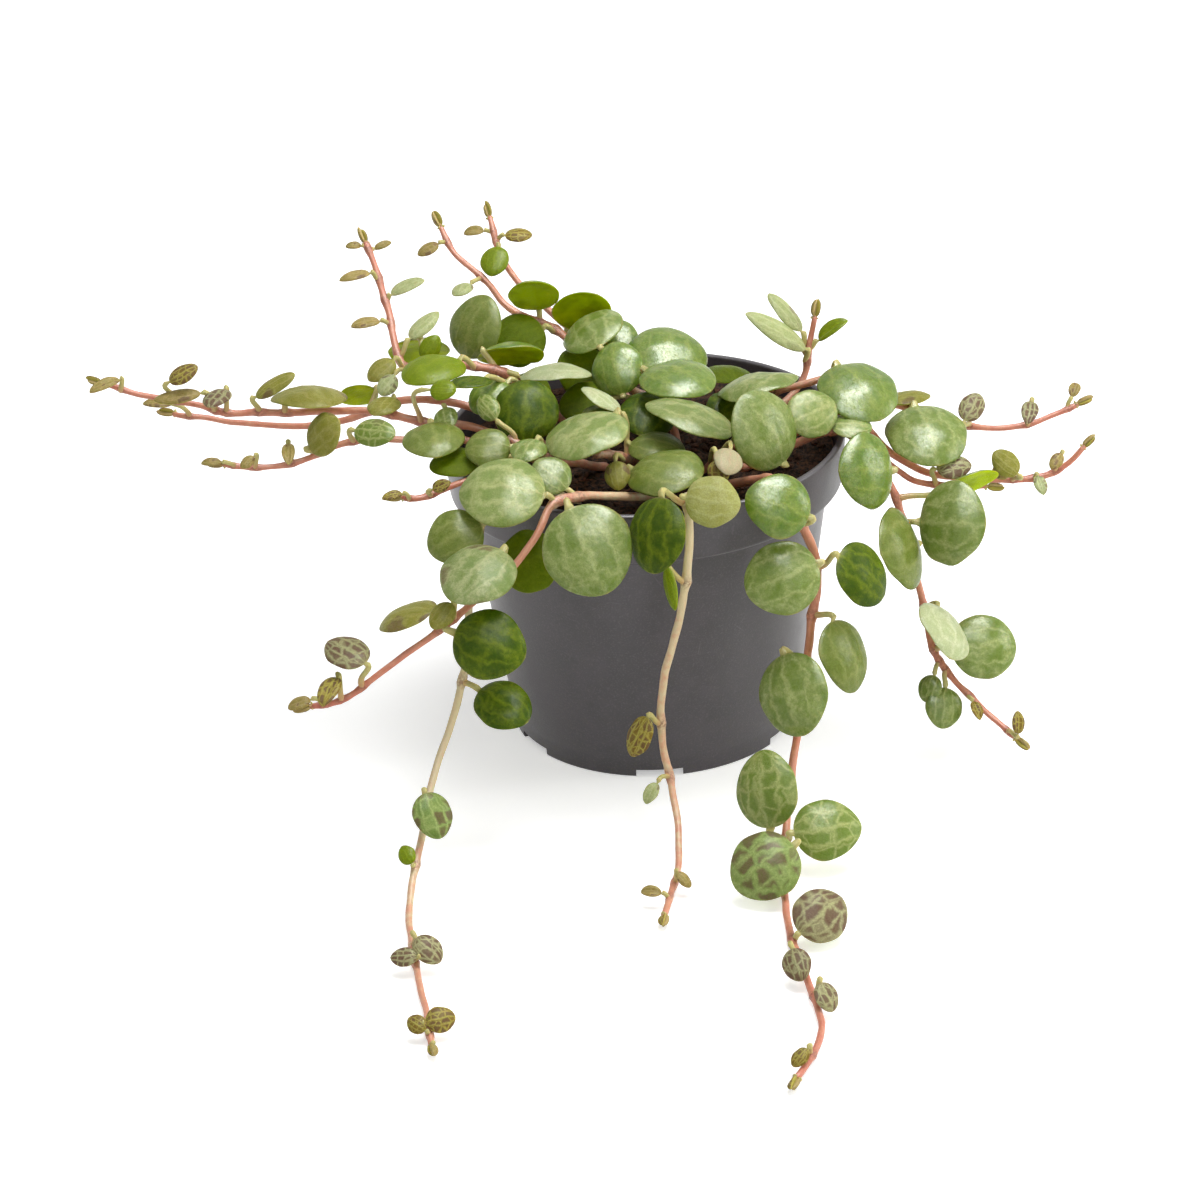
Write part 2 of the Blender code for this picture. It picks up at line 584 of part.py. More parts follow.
def stem_curve(name, thick, thin, route, cutters):
    """A tapering tube that starts just above the soil and ends in a blunt tip."""
    places = []
    for i, (near, far) in enumerate(zip(route, route[1:])):
        steps = max(1, round((Vector(far) - Vector(near)).length / STEM_STEP))
        places += [i + step / steps for step in range(steps)]
    places.append(len(route) - 1)
    curve = bpy.data.curves.new(name, "CURVE")
    curve.dimensions = "3D"
    curve.bevel_depth = MM
    curve.bevel_resolution = STEM_SIDES_RESOLUTION
    curve.use_fill_caps = True
    spline = curve.splines.new("POLY")
    spline.points.add(len(places) - 1)
    for point, place in zip(spline.points, places):
        where, _ = along(route, place)
        point.co = (*(where * MM), 1)
        point.radius = stem_radius(thick, thin, place / places[-1])
    return add_object(name, curve, cutters)


def curve_as_mesh(thing, where, finish):
    """The curve's tube as a closed mesh, in place of the curve."""
    bpy.context.view_layer.update()
    graph = bpy.context.evaluated_depsgraph_get()
    mesh = bpy.data.meshes.new_from_object(thing.evaluated_get(graph))
    shape = bmesh.new()
    shape.from_mesh(mesh)
    bmesh.ops.remove_doubles(shape, verts=shape.verts, dist=0.00001)
    bmesh.ops.recalc_face_normals(shape, faces=shape.faces)
    shape.to_mesh(mesh)
    shape.free()
    name, matrix = thing.name, thing.matrix_world.copy()
    curve = thing.data
    bpy.data.objects.remove(thing)
    bpy.data.curves.remove(curve)
    mesh.name = name
    made = add_object(name, mesh, where, finish)
    made.matrix_world = matrix
    return made


def facing(turn, lift):
    turn, lift = math.radians(turn), math.radians(lift)
    return Vector((math.sin(turn) * math.cos(lift), -math.cos(turn) * math.cos(lift), math.sin(lift)))


def bezier(a, b, c, d, t):
    s = 1 - t
    return a * s ** 3 + b * 3 * s * s * t + c * 3 * s * t * t + d * t ** 3


def leaf_sections(stem, row, clearance, stalk_radius, thickness, stalk_steps, blade_steps):
    """The rings of a leaf: round along its stalk, then flat and wide across its domed blade."""
    route = stem[2]
    place, centre, (turn, lift), length, width = row
    root, heading = along(route, place)
    centre = Vector(centre)
    up = facing(turn, lift)
    outwards = centre - root
    sideways = outwards - outwards.dot(heading) * heading
    sideways.normalize()
    start = root + sideways * clearance
    axis = outwards - outwards.dot(up) * up
    axis.normalize()
    across = axis.cross(up)
    margin = centre - axis * (length / 2)
    pull = STALK_BEND * (margin - start).length
    rings = []
    for i in range(stalk_steps):
        t = i / stalk_steps
        here = bezier(start, start + sideways * pull, margin - axis * pull, margin, t)
        ahead = bezier(start, start + sideways * pull, margin - axis * pull, margin, t + 0.05)
        way = (ahead - here).normalized()
        side = (across - across.dot(way) * way).normalized()
        rings.append((here, side * stalk_radius, side.cross(way) * stalk_radius))
    for i in range(blade_steps):
        # Stations are closer together near the two ends, where the outline turns.
        station = (1 - math.cos(math.pi * (i + 0.45) / (blade_steps - 0.1))) / 2
        half = max(width / 2 * math.sqrt(max(0, 1 - (2 * station - 1) ** 2)), stalk_radius)
        rise = LEAF_DOME * width * (1 - (2 * station - 1) ** 2)
        here = margin + axis * (length * station) + up * (rise - thickness / 4)
        share = math.sqrt(half / (width / 2))
        rings.append((here, across * half, up * (thickness / 2) * share))
    return [
        [middle + side * math.cos(angle) + top * math.sin(angle) for angle in ring_angles(LEAF_SIDES)]
        for middle, side, top in rings
    ]


def ring_angles(sides):
    return [2 * math.pi * i / sides for i in range(sides)]


def loft(shape, rings):
    """Walls between each ring and the next, and a cap at both ends. The last cap is returned."""
    rows = [[shape.verts.new(point * MM) for point in ring] for ring in rings]
    for near, far in zip(rows, rows[1:]):
        for i in range(len(near)):
            j = (i + 1) % len(near)
            shape.faces.new((near[i], near[j], far[j], far[i]))
    shape.faces.new(rows[0])
    return shape.faces.new(rows[-1])


def full_leaf(stem, row):
    thick, thin, route = stem
    clearance = stem_radius(thick, thin, row[0] / (len(route) - 1)) + LEAF_TO_STEM
    return leaf_sections(stem, row, clearance, STALK_RADIUS, LEAF_THICKNESS, 3, 5)


def young_leaf(stem, row):
    """It starts inside the stem, so that the two join."""
    if row[3] > BIG_YOUNG_LEAF:
        return leaf_sections(stem, row, 0.0, STALK_RADIUS, LEAF_THICKNESS, 2, 5)
    return leaf_sections(stem, row, 0.0, YOUNG_STALK_RADIUS, YOUNG_LEAF_THICKNESS, 1, 3)


def add_stem(name, parts, cutters, finish):
    """A stem's tube, joined with the young leaves that grow out of it."""
    stem = rooted(name)
    tube = curve_as_mesh(stem_curve(name, *stem, cutters), parts, finish)
    rows = YOUNG_LEAVES.get(name, [])
    for number, row in enumerate(rows, 1):
        def blade(shape, row=row):
            loft(shape, young_leaf(stem, row))
        label = f"{name}_young_{number}"
        young = add_object(label, mesh_from(label, blade), cutters)
        hidden(young)
        boolean(tube, young, "UNION")
    return tube


def add_leaves(name, parts, finish):
    stem = rooted(name)
    short = name.removeprefix("stem_")
    for number, row in enumerate(LEAVES.get(name, []), 1):
        def blade(shape, row=row):
            loft(shape, full_leaf(stem, row))
        label = f"leaf_{short}_{number}"
        leaf = add_object(label, mesh_from(label, blade), parts, finish)
        smooth(leaf.data)


def main():
    clear_scene()
    parts = collection(COLLECTION)
    cutters = collection(CUTTERS)
    plastic = material("pot_plastic", (0.035, 0.034, 0.042), 0.55)
    peat = material("peat", (0.03, 0.018, 0.012), 0.95)
    stem_skin = material("stem_skin", (0.42, 0.2, 0.12), 0.5)
    leaf_skin = material("leaf_skin", (0.1, 0.2, 0.05), 0.35)

    add_pot(parts, cutters, plastic)
    add_object("soil", mesh_from("soil", soil_plug), parts, peat)
    for name in STEMS:
        add_stem(name, parts, cutters, stem_skin)
        add_leaves(name, parts, leaf_skin)


main()
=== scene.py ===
# %% [markdown]
# # A string of turtles in a nursery pot
#
# String of turtles is a small trailing plant. Its leaves are thick, round and waxy, with pale veins
# that part the green into the plates of a turtle's shell. This one grows in a small black nursery pot.
# The lesson dresses a finished solid model of the plant: each solid is replaced by a finer mesh in
# the same place, and each finish is a set of shader nodes.
#
# We start by loading the solid model. Everything after this is placed in its frame, in metres, with
# +Z up and the front of the plant towards -Y.

# %% Load the solid model
import math
import random

import bmesh
import bpy
from mathutils import Matrix, Vector, noise


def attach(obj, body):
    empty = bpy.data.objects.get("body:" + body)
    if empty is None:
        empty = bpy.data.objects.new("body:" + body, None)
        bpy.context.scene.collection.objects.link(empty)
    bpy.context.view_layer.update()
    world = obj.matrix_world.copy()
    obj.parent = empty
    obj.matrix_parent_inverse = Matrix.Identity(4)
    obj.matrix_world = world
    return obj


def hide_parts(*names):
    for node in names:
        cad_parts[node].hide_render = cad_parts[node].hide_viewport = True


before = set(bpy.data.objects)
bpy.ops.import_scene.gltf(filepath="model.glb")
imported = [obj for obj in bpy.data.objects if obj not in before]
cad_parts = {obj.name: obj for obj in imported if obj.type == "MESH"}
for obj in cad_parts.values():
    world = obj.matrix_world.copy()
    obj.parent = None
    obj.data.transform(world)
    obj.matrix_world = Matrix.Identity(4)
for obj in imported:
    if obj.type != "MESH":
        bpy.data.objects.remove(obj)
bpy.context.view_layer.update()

MM = 0.001  # metres in a millimetre

# %% [markdown]
# ## The camera
#
# A long lens from half a metre away looks down by 26 degrees. The camera leans a little, so the pot
# stands slightly out of plumb. A lens shift moves the pot off the middle of the frame without turning
# the camera away from it.

# %% Camera
TARGET = Vector((0, 0, 25)) * MM
DISTANCE = 550 * MM
ELEVATION = math.radians(26.2)
LEAN = math.radians(-2.6)
SENSOR_WIDTH = 36
LENS = 108.9  # millimetres, as the sensor's width is
SHIFT = (-0.0418, -0.0317)


def added(name, data):
    """A new object in the scene, from a mesh, a lamp or a camera."""
    made = bpy.data.objects.new(name, data)
    bpy.context.scene.collection.objects.link(made)
    return made


camera_data = bpy.data.cameras.new("camera")
camera_data.sensor_width = SENSOR_WIDTH
camera_data.lens = LENS
camera_data.shift_x, camera_data.shift_y = SHIFT
camera = added("camera", camera_data)
back = Vector((0, -math.cos(ELEVATION), math.sin(ELEVATION)))
camera.location = TARGET + back * DISTANCE
lean = Matrix.Rotation(LEAN, 3, "Z").to_quaternion()
camera.rotation_euler = (back.to_track_quat("Z", "Y") @ lean).to_euler()
bpy.context.scene.camera = camera
print("camera at", [round(value, 3) for value in camera.location])

# %% [markdown]
# ## Shader maths as Python
#
# A finish needs many small sums. Linking Math nodes by hand hides what is worked out, so a small class
# wraps a socket, and an expression such as `1 - mask * 2` adds the nodes. Vectors go through Vector
# Math. Every other node comes from one method, which sets the node's own settings first and its
# sockets next.

# %% Socket
class Socket:
    """An output of a node, which can be used in a sum."""

    def __init__(self, nodes, output):
        self.nodes = nodes
        self.output = output

    def sum(self, operation, *others, swap=False):
        values = [self, *others]
        if swap:
            values.reverse()
        vectors = any(isinstance(v, Socket) and v.output.type in ("VECTOR", "RGBA") for v in values)
        kind = "ShaderNodeVectorMath" if vectors else "ShaderNodeMath"
        if vectors:
            values = [v if isinstance(v, Socket) else (v, v, v) for v in values]
        return self.nodes.node(kind, {"operation": operation}, dict(enumerate(values)))

    def size(self):
        """The value without its sign."""
        return self.sum("ABSOLUTE")

    def up_to(self, other):
        return self.sum("MINIMUM", other)

    def at_least(self, other):
        return self.sum("MAXIMUM", other)

    def root(self):
        return self.sum("SQRT")

    def step(self, low, high, start=0, end=1):
        """A smooth step from start, where the value is low, to end, where it is high."""
        sockets = {"Value": self, "From Min": low, "From Max": high, "To Min": start, "To Max": end}
        return self.nodes.node("ShaderNodeMapRange", {"interpolation_type": "SMOOTHSTEP"}, sockets)


def operator(operation, swap):
    return lambda socket, other: socket.sum(operation, other, swap=swap)


OPERATORS = {"add": "ADD", "sub": "SUBTRACT", "mul": "MULTIPLY", "truediv": "DIVIDE"}
for sign, operation in OPERATORS.items():
    setattr(Socket, f"__{sign}__", operator(operation, False))
    setattr(Socket, f"__r{sign}__", operator(operation, True))
print("a socket takes", len(OPERATORS), "operators, from both sides")

# %% Nodes
class Nodes:
    """A tree of nodes, of a material or of the world."""

    def __init__(self, tree):
        self.tree = tree

    def node(self, kind, settings=None, sockets=None, out=0):
        """Adds a node of a type, with its settings and its sockets' values or links."""
        made = self.tree.nodes.new(kind)
        for name, value in (settings or {}).items():
            setattr(made, name, value)
        for name, value in (sockets or {}).items():
            self.put(made.inputs[name], value)
        return Socket(self, made.outputs[out])

    def put(self, socket, value):
        if isinstance(value, Socket):
            self.tree.links.new(value.output, socket)
        else:
            socket.default_value = value

    def outputs(self, kind, sockets=None):
        """All the outputs of a node."""
        first = self.node(kind, {}, sockets)
        return [Socket(self, output) for output in first.output.node.outputs]

    def seen(self):
        """1 on rays from the camera and on those that gloss and glass send on, or else 0."""
        rays = {ray.output.name: ray for ray in self.outputs("ShaderNodeLightPath")}
        direct = rays["Is Camera Ray"].at_least(rays["Is Glossy Ray"])
        return direct.at_least(rays["Is Transmission Ray"])


print("every node comes from the method", Nodes.node.__name__)

# %% Finish
class Finish(Nodes):
    """A material and the nodes that it is made of."""

    def __init__(self, name, **uniform):
        self.name = name
        self.material = bpy.data.materials.new(name)
        self.material.use_nodes = True
        super().__init__(self.material.node_tree)
        self.shader = self.tree.nodes["Principled BSDF"]
        for socket, value in uniform.items():
            self.shader.inputs[socket.replace("_", " ")].default_value = value

    def paint(self, name, value):
        """Links or sets one socket of the shader."""
        self.put(self.shader.inputs[name], value)

    def mark(self, name):
        """The vector or colour that a mesh keeps at each of its points under this name."""
        return self.node("ShaderNodeAttribute", {"attribute_name": name}, out=1)

    def parts(self, vector):
        """The three numbers of a vector or colour."""
        return self.outputs("ShaderNodeSeparateXYZ", {0: vector})

    def attribute(self, name):
        return self.parts(self.mark(name))

    def scaled(self, shade, factor):
        """A colour made darker or lighter by a factor."""
        both = {0: shade, 1: self.vector(factor, factor, factor)}
        return self.node("ShaderNodeVectorMath", {"operation": "MULTIPLY"}, both)

    def vector(self, x, y, z):
        return self.node("ShaderNodeCombineXYZ", {}, {0: x, 1: y, 2: z})

    def place(self):
        """Object coordinates, in millimetres."""
        return self.node("ShaderNodeTexCoord", out=3) * (1 / MM)

    def speckle(self, where, scale, detail=2, roughness=0.5):
        """Noise from about 0.25 to 0.75."""
        sockets = {"Vector": where, "Scale": scale, "Detail": detail, "Roughness": roughness}
        return self.node("ShaderNodeTexNoise", {}, sockets)

    def plates(self, feature, where, scale, randomness=1, out=0):
        """Voronoi cells: how far away their edges are, or a colour of its own for each cell."""
        sockets = {"Vector": where, "Scale": scale, "Randomness": randomness}
        return self.node("ShaderNodeTexVoronoi", {"feature": feature}, sockets, out)

    def blend(self, low, high, share):
        """The colour low where share is 0, and high where it is 1."""
        return self.node("ShaderNodeMix", {"data_type": "RGBA"}, {0: share, 6: low, 7: high}, out=2)

    def bump(self, height, distance, strength=1):
        sockets = {"Height": height, "Distance": distance * MM, "Strength": strength}
        return self.node("ShaderNodeBump", {}, sockets)


def colour(red, green, blue):
    """A shader's colour for one that is given as it looks on a screen, from 0 to 255."""
    def linear(value):
        value = value / 255
        return value / 12.92 if value < 0.04045 else ((value + 0.055) / 1.055) ** 2.4
    return (linear(red), linear(green), linear(blue), 1)


print("a mid grey of 128 is", round(colour(128, 128, 128)[0], 3), "to the shader")

# %% [markdown]
# ## Light
#
# Glossy leaves show the lamps as soft white patches, so the lamps are large panels: one overhead and a
# little behind, one at the right, which also lights that side of the pot, and a weak one in front. Two
# more panels overhead show in gloss only: they brighten the shine on the wax and light nothing else.
# A white world fills the shadows. It is full white to the camera and in reflections, and dimmer as
# a light.

# %% Lamps and world
# Name, place in metres, width, watts, and whether it shows in gloss only.
PANELS = (
    ("overhead_panel", (0.10, 0.02, 0.66), 0.34, 3.2, False),
    ("gloss_back", (0.12, 0.08, 0.62), 0.34, 5.0, True),
    ("gloss_front", (0.02, -0.26, 0.56), 0.34, 4.0, True),
    ("right_panel", (0.62, -0.05, 0.28), 0.36, 2.4, False),
    ("front_panel", (0.20, -0.62, 0.42), 0.50, 1.2, False),
)
WORLD_LIGHT = 0.36

for name, place, size, watts, gloss_only in PANELS:
    lamp = bpy.data.lights.new(name, "AREA")
    lamp.shape = "SQUARE"
    lamp.size = size
    lamp.energy = watts
    panel = added(name, lamp)
    panel.location = place
    panel.rotation_euler = (Vector(place) - TARGET).to_track_quat("Z", "Y").to_euler()
    panel.visible_diffuse = not gloss_only
    panel.visible_transmission = not gloss_only

world = bpy.data.worlds.new("studio")
bpy.context.scene.world = world
world.use_nodes = True
sky = Nodes(world.node_tree)
background = sky.tree.nodes["Background"].inputs
sky.put(background["Color"], (1, 1, 1, 1))
sky.put(background["Strength"], WORLD_LIGHT + sky.seen() * (1 - WORLD_LIGHT))
bpy.context.scene.view_settings.view_transform = "Standard"
print(len(PANELS), "panels,", sum(row[4] for row in PANELS), "of them for the gloss only")

# %% [markdown]
# ## The floor
#
# A pale sheet that runs out of the frame. It has to look white and still show the soft shadow of
# the pot, so it is a matt near-white that also glows faintly, to the camera and in reflections only.

# %% Floor
FLOOR_HALF = 3.0
FLOOR_GLOW = 0.42

floor_finish = Finish("pale_sheet", Base_Color=colour(243, 243, 243), Roughness=0.9, Emission_Strength=1)
glow = floor_finish.seen() * FLOOR_GLOW
floor_finish.paint("Emission Color", floor_finish.vector(glow, glow, glow))
floor_mesh = bpy.data.meshes.new("floor")
corners = [(x * FLOOR_HALF, y * FLOOR_HALF, 0) for x, y in ((-1, -1), (1, -1), (1, 1), (-1, 1))]
floor_mesh.from_pydata(corners, [], [(0, 1, 2, 3)])
floor_mesh.materials.append(floor_finish.material)
floor = added("floor", floor_mesh)
print("floor", 2 * FLOOR_HALF, "m across")

# %% [markdown]
# ## The looks of the leaves
#
# No two leaves of the plant are quite alike. Old ones are soft grey-green with wide pale veins, shaded
# ones are deep green, and the newest have small brown plates in a pale net. The deep green is partly
# the leaves' own colour and partly painted shade. Each look has a colour for the plates and one for
# the veins, the share of brown plates, how many plates there are in half a leaf's width, how strong
# the veins are, and how much the wax on top shines.

# %% Looks
LOOKS = {
    "soft": ((96, 118, 36), (156, 166, 102), 0, 1.15, 0.7, 0.6),
    "light": ((108, 128, 54), (164, 170, 110), 0, 1.15, 0.75, 0.5),
    # deep: a darker green, partly the leaf's own and partly painted shade
    "deep": ((50, 74, 0), (104, 120, 22), 0, 1.15, 0.7, 0.15),
    "moss": ((80, 98, 0), (106, 120, 20), 0, 1.1, 0.4, 0),
    "green": ((82, 112, 14), (140, 154, 68), 0, 1.2, 0.55, 0.9),
    "grey": ((96, 112, 36), (138, 146, 78), 0, 1.2, 0.6, 0.4),
    # pale: partly the leaf's own pale green and partly painted highlight, for the sheen on a leaf seen at a
    # low angle
    "pale": ((164, 174, 126), (196, 200, 160), 0, 1.4, 0.7, 0.2),
    "silver": ((156, 166, 108), (188, 192, 144), 0.1, 1.4, 0.6, 0.1),
    "lime": ((108, 128, 0), (136, 152, 34), 0, 1.2, 0.4, 0.2),
    "olive": ((126, 124, 44), (158, 154, 88), 0.15, 1.2, 0.5, 0.1),
    "plain": ((148, 150, 76), (182, 182, 124), 0, 1, 0.4, 0.1),
    "net": ((102, 124, 44), (162, 170, 104), 0.06, 1.7, 0.85, 0.3),
    "spotted": ((106, 126, 62), (158, 164, 114), 0.45, 1.3, 0.85, 0.2),
    "patched": ((96, 120, 50), (146, 162, 94), 0.7, 1.5, 0.9, 0.2),
    "brown": ((112, 92, 74), (166, 166, 118), 1, 1.6, 0.9, 0.1),
    "bud": ((118, 94, 38), (168, 158, 76), 0.7, 1.8, 0.9, 0.1),
    "tip": ((142, 128, 66), (180, 160, 108), 0.3, 1.5, 0.5, 0.1),
    "blush": ((172, 168, 130), (186, 158, 130), 0, 1, 0.35, 0.1),
}
print(len(LOOKS), "looks")

# %% [markdown]
# ## Where everything grows
#
# The plan of the plant is the same as the solid model's, in millimetres. Each stem has its radius at
# the soil and at the tip, how red it is at both ends, and a short list of points that it passes
# through. Each leaf on it is a row: where it leaves the stem, the middle of its blade, the way its
# upper side faces as a turn and a lift, its length and width, and its look.

# %% A stem and its leaves
STEMS = {}
FULL_LEAVES = {}
YOUNG_LEAVES = {}


def stem(name, foot, tip, redness, points, full=(), young=()):
    """Notes a stem and the full-grown and young leaves on it."""
    STEMS[name] = (foot, tip, redness, points)
    FULL_LEAVES[name] = full
    YOUNG_LEAVES[name] = young
    print(name, "has", len(full), "full-grown and", len(young), "young leaves")


print("a leaf looks", ", ".join(LOOKS))

# %% Rising at the back
stem("up_left", 0.7, 0.45, (0.6, 0.9), [
    (-9, 6), (-15, 7.5, 49), (-20.5, 6, 54.5), (-28, 7, 55.8), (-35.5, 9, 55), (-37, 13, 58.5),
    (-38, 17, 62), (-39.8, 21, 67.2), (-41, 23, 70),
], full=[
    (3.4, (-24.8, 16, 58.2), (-35, 30), 10, 9.4, "grey"),
    (3.6, (-33.8, 17, 54.1), (180, 46), 10.6, 9.4, "green"),
    (2.6, (-30.8, 1, 57.8), (0, 86), 10.2, 9, "lime"),
    (2, (-12.8, 4.8, 54.5), (180, 76), 10.8, 10.4, "pale"),
    (2.2, (-19.4, 9.6, 56), (180, 50), 10.2, 10, "green"),
], young=[
    (1.7, (-25.2, -3.2, 57.4), (180, 78), 7, 6.6, "deep"),
    (6.6, (-42.6, 18, 66.5), (0, 74), 4.8, 2.2, "tip"),
    (6.1, (-34.8, 18.6, 64.2), (-20, 70), 5.6, 2.8, "silver"),
    (5.4, (-41.2, 13.4, 60.6), (0, 70), 4.4, 2.4, "tip"),
    (4.4, (-32.4, 13.4, 60), (-20, 62), 6.2, 3.2, "silver"),
    (7.6, (-38.4, 23.4, 69.2), (0, 60), 2.8, 1.4, "tip"),
    (7.8, (-42.8, 22.6, 69.6), (0, 60), 2.4, 1.4, "tip"),
    (3.7, (-31.4, 9, 58), (0, 20), 4.2, 3.2, "lime"),
    (4, (-38.8, 5.6, 56.2), (-20, 60), 5, 4, "olive"),
    (3.9, (-37.8, 3, 54.8), (0, 50), 3.8, 3, "silver"),
    (1.6, (-17.4, 10.6, 49.4), (0, 60), 8, 7.6, "moss"),
    (1.4, (-22.6, 0.2, 53.4), (-10, 60), 7, 6.8, "green"),
])
stem("up_back", 0.7, 0.4, (0.6, 0.8), [
    (-4, 10), (-8, 16, 50), (-12.2, 20, 54.8), (-20, 24, 57.8), (-23, 26, 61.2), (-28, 29, 65.2),
    (-30, 32, 68.7),
], full=[
    (2.1, (-18.7, 17, 55.2), (-10, 45), 8.8, 8.8, "moss"),
    (1.6, (-8.6, 21.5, 57.8), (180, 28), 9.2, 9, "green"),
    (2.4, (-15.9, 21, 61), (180, 36), 8.2, 7.8, "green"),
], young=[
    (5.4, (-32, 29.2, 66), (-30, 60), 3.6, 2.6, "tip"),
    (4.2, (-26.8, 23, 61.6), (0, 80), 4, 3, "silver"),
])
stem("up_centre", 0.65, 0.4, (0.6, 0.8), [
    (-1, 16), (-8, 23, 51), (-14, 27, 56), (-18.3, 28.5, 59.8), (-21.3, 32, 64.6), (-22.5, 35, 68.7),
], young=[
    (3.8, (-21.8, 27.4, 64.2), (-10, 50), 5.2, 4.4, "lime"),
    (4.2, (-18, 32, 66.6), (0, 70), 4.2, 3.2, "bud"),
    (4.5, (-25, 33.6, 66.8), (-20, 60), 3.2, 2, "tip"),
])
stem("up_right", 0.6, 0.4, (0.2, 0.9), [
    (16, 7), (21, 9.5, 46), (24.6, 12, 49), (25.4, 13, 53), (26.5, 14, 58.3),
], young=[
    (2.6, (20.6, 12, 57), (61, 51), 10.8, 5, "silver"),
    (2.9, (22.2, 15.4, 58.6), (55, 50), 7.6, 3.8, "silver"),
    (3.1, (29, 12.8, 56.4), (-60, 50), 5.4, 3, "lime"),
])

# %% Reaching left
stem("left_high", 0.7, 0.4, (0.7, 0.9), [
    (-14, -3), (-23, -2, 48.5), (-31.7, 0, 49.6), (-41.3, 2, 51.2), (-54.5, 5, 50.3), (-62.4, 6.5, 50),
    (-67.4, 7.5, 51.1), (-76.5, 9, 52.8), (-81.5, 10, 54.3),
], full=[
    (3.9, (-49, -1.5, 55.2), (170, 78), 12.2, 11.4, "olive"),
], young=[
    (7.3, (-80.4, 7.4, 55), (0, 70), 5, 2.2, "tip"),
    (6.3, (-68.2, 5.2, 57.2), (-20, 50), 4.8, 3.2, "bud"),
    (5, (-63.4, 3.6, 53.8), (0, 84), 5.6, 4, "brown"),
    (4.3, (-54.7, 4.6, 55), (-40, 56), 6.8, 3.4, "olive"),
    (5.35, (-69.4, 4.6, 53.9), (-5, 66), 7, 2.8, "tip"),
    (2.65, (-38.4, -0.4, 53), (-5, 84), 5.6, 5, "olive"),
    (2.15, (-29, -8, 58.4), (-20, 50), 4, 3.4, "lime"),
    (1.6, (-29.1, -5, 52.5), (-30, 60), 4.4, 3.8, "soft"),
])
stem("left_low", 0.7, 0.4, (0.7, 0.8), [
    (-13, 2.5), (-24, 3.2, 49.8), (-34.9, 4.5, 51.6), (-44.8, 6.5, 47.9), (-53.1, 8, 46.6),
    (-62.6, 11, 46.5), (-71.5, 13, 47.5),
], young=[
    (2.6, (-42.8, 9.6, 50.6), (180, 34), 6.2, 5.6, "green"),
    (5.7, (-73.6, 12.2, 49.6), (0, 70), 4.4, 2.2, "tip"),
])
stem("left_front", 0.6, 0.4, (0.7, 0.8), [
    (-16, -6.5), (-25, -5.2, 48.4), (-33, -4.6, 49), (-42.9, -4, 49.1), (-49.6, -5, 47.1),
    (-56.4, -5, 45.9), (-62.5, -5, 46.7),
], full=[
    (1.8, (-30.6, -12, 52.4), (-10, 84), 9.8, 9.2, "grey"),
    (3.7, (-47, -8, 52.2), (-45, 26), 7, 6.4, "olive"),
], young=[
    (3, (-39.4, -8.6, 52.4), (-30, 50), 6.8, 4.6, "net"),
    (4.4, (-52.2, -8.4, 49.6), (0, 76), 4.8, 2, "tip"),
    (5.2, (-58.4, -7.8, 48.2), (0, 50), 2.6, 1.8, "tip"),
    (5.7, (-64, -5.6, 47.4), (0, 60), 3, 1.5, "tip"),
])
stem("left_short", 0.55, 0.4, (0.6, 1), [
    (-14, -11), (-20.5, -15, 47.2), (-25.5, -17.4, 48.1), (-32.3, -19, 46.3), (-35.5, -20, 47),
], young=[
    (2.8, (-29.4, -21.8, 49.4), (-20, 30), 2.9, 1.9, "bud"),
    (3.6, (-36.6, -21, 47.8), (0, 60), 3, 1.6, "bud"),
])

# %% Reaching right
stem("right_high", 0.65, 0.4, (0.7, 0.9), [
    (15.5, 3.5), (23, 3.8, 46.8), (30.5, 4, 48.5), (40, 4.5, 46.5), (48.8, 5, 43), (57.8, 6, 42.2),
    (65.6, 7, 44.9),
], full=[
    (3, (41.8, -3.8, 45.8), (10, 68), 12.6, 12.2, "soft"),
], young=[
    (2.6, (39.6, 5.6, 47.9), (180, 84), 7.6, 5.6, "olive"),
    (4, (49, 1.6, 47.6), (0, 50), 5, 3.8, "brown"),
    (5, (57.8, 3.2, 45.6), (10, 66), 4.6, 2.6, "brown"),
    (5.8, (65.2, 8.6, 46.6), (10, 60), 2.8, 1.8, "tip"),
])
stem("right_mid", 0.7, 0.4, (0.9, 0.9), [
    (14, 0.8), (22, 0.6, 46.5), (30, -0.2, 48.4), (37.4, -2, 41.6), (44.4, -3, 38.6), (55.5, -3, 37.4),
    (62, -3, 39.2), (65.3, -3, 42.5),
], young=[
    (4.9, (53.2, -6.4, 41.8), (10, 30), 4.8, 3.8, "olive"),
    (5.3, (58.4, -6.4, 38), (0, 60), 3.4, 2, "silver"),
    (5.8, (60.8, -5.6, 41.4), (0, 50), 3, 2, "tip"),
])
stem("right_low", 0.6, 0.4, (1, 1), [
    (13, -2.3), (22, -2.9, 46.5), (29.8, -3.4, 48.3), (36.8, -5.2, 41.2), (41.2, -6, 38.9),
    (50.7, -6.2, 38),
], young=[
    (4.2, (45.4, -8, 42.4), (0, 60), 5.2, 4.2, "brown"),
    (4.8, (52.8, -5.4, 40), (20, 50), 3.2, 2.6, "tip"),
])
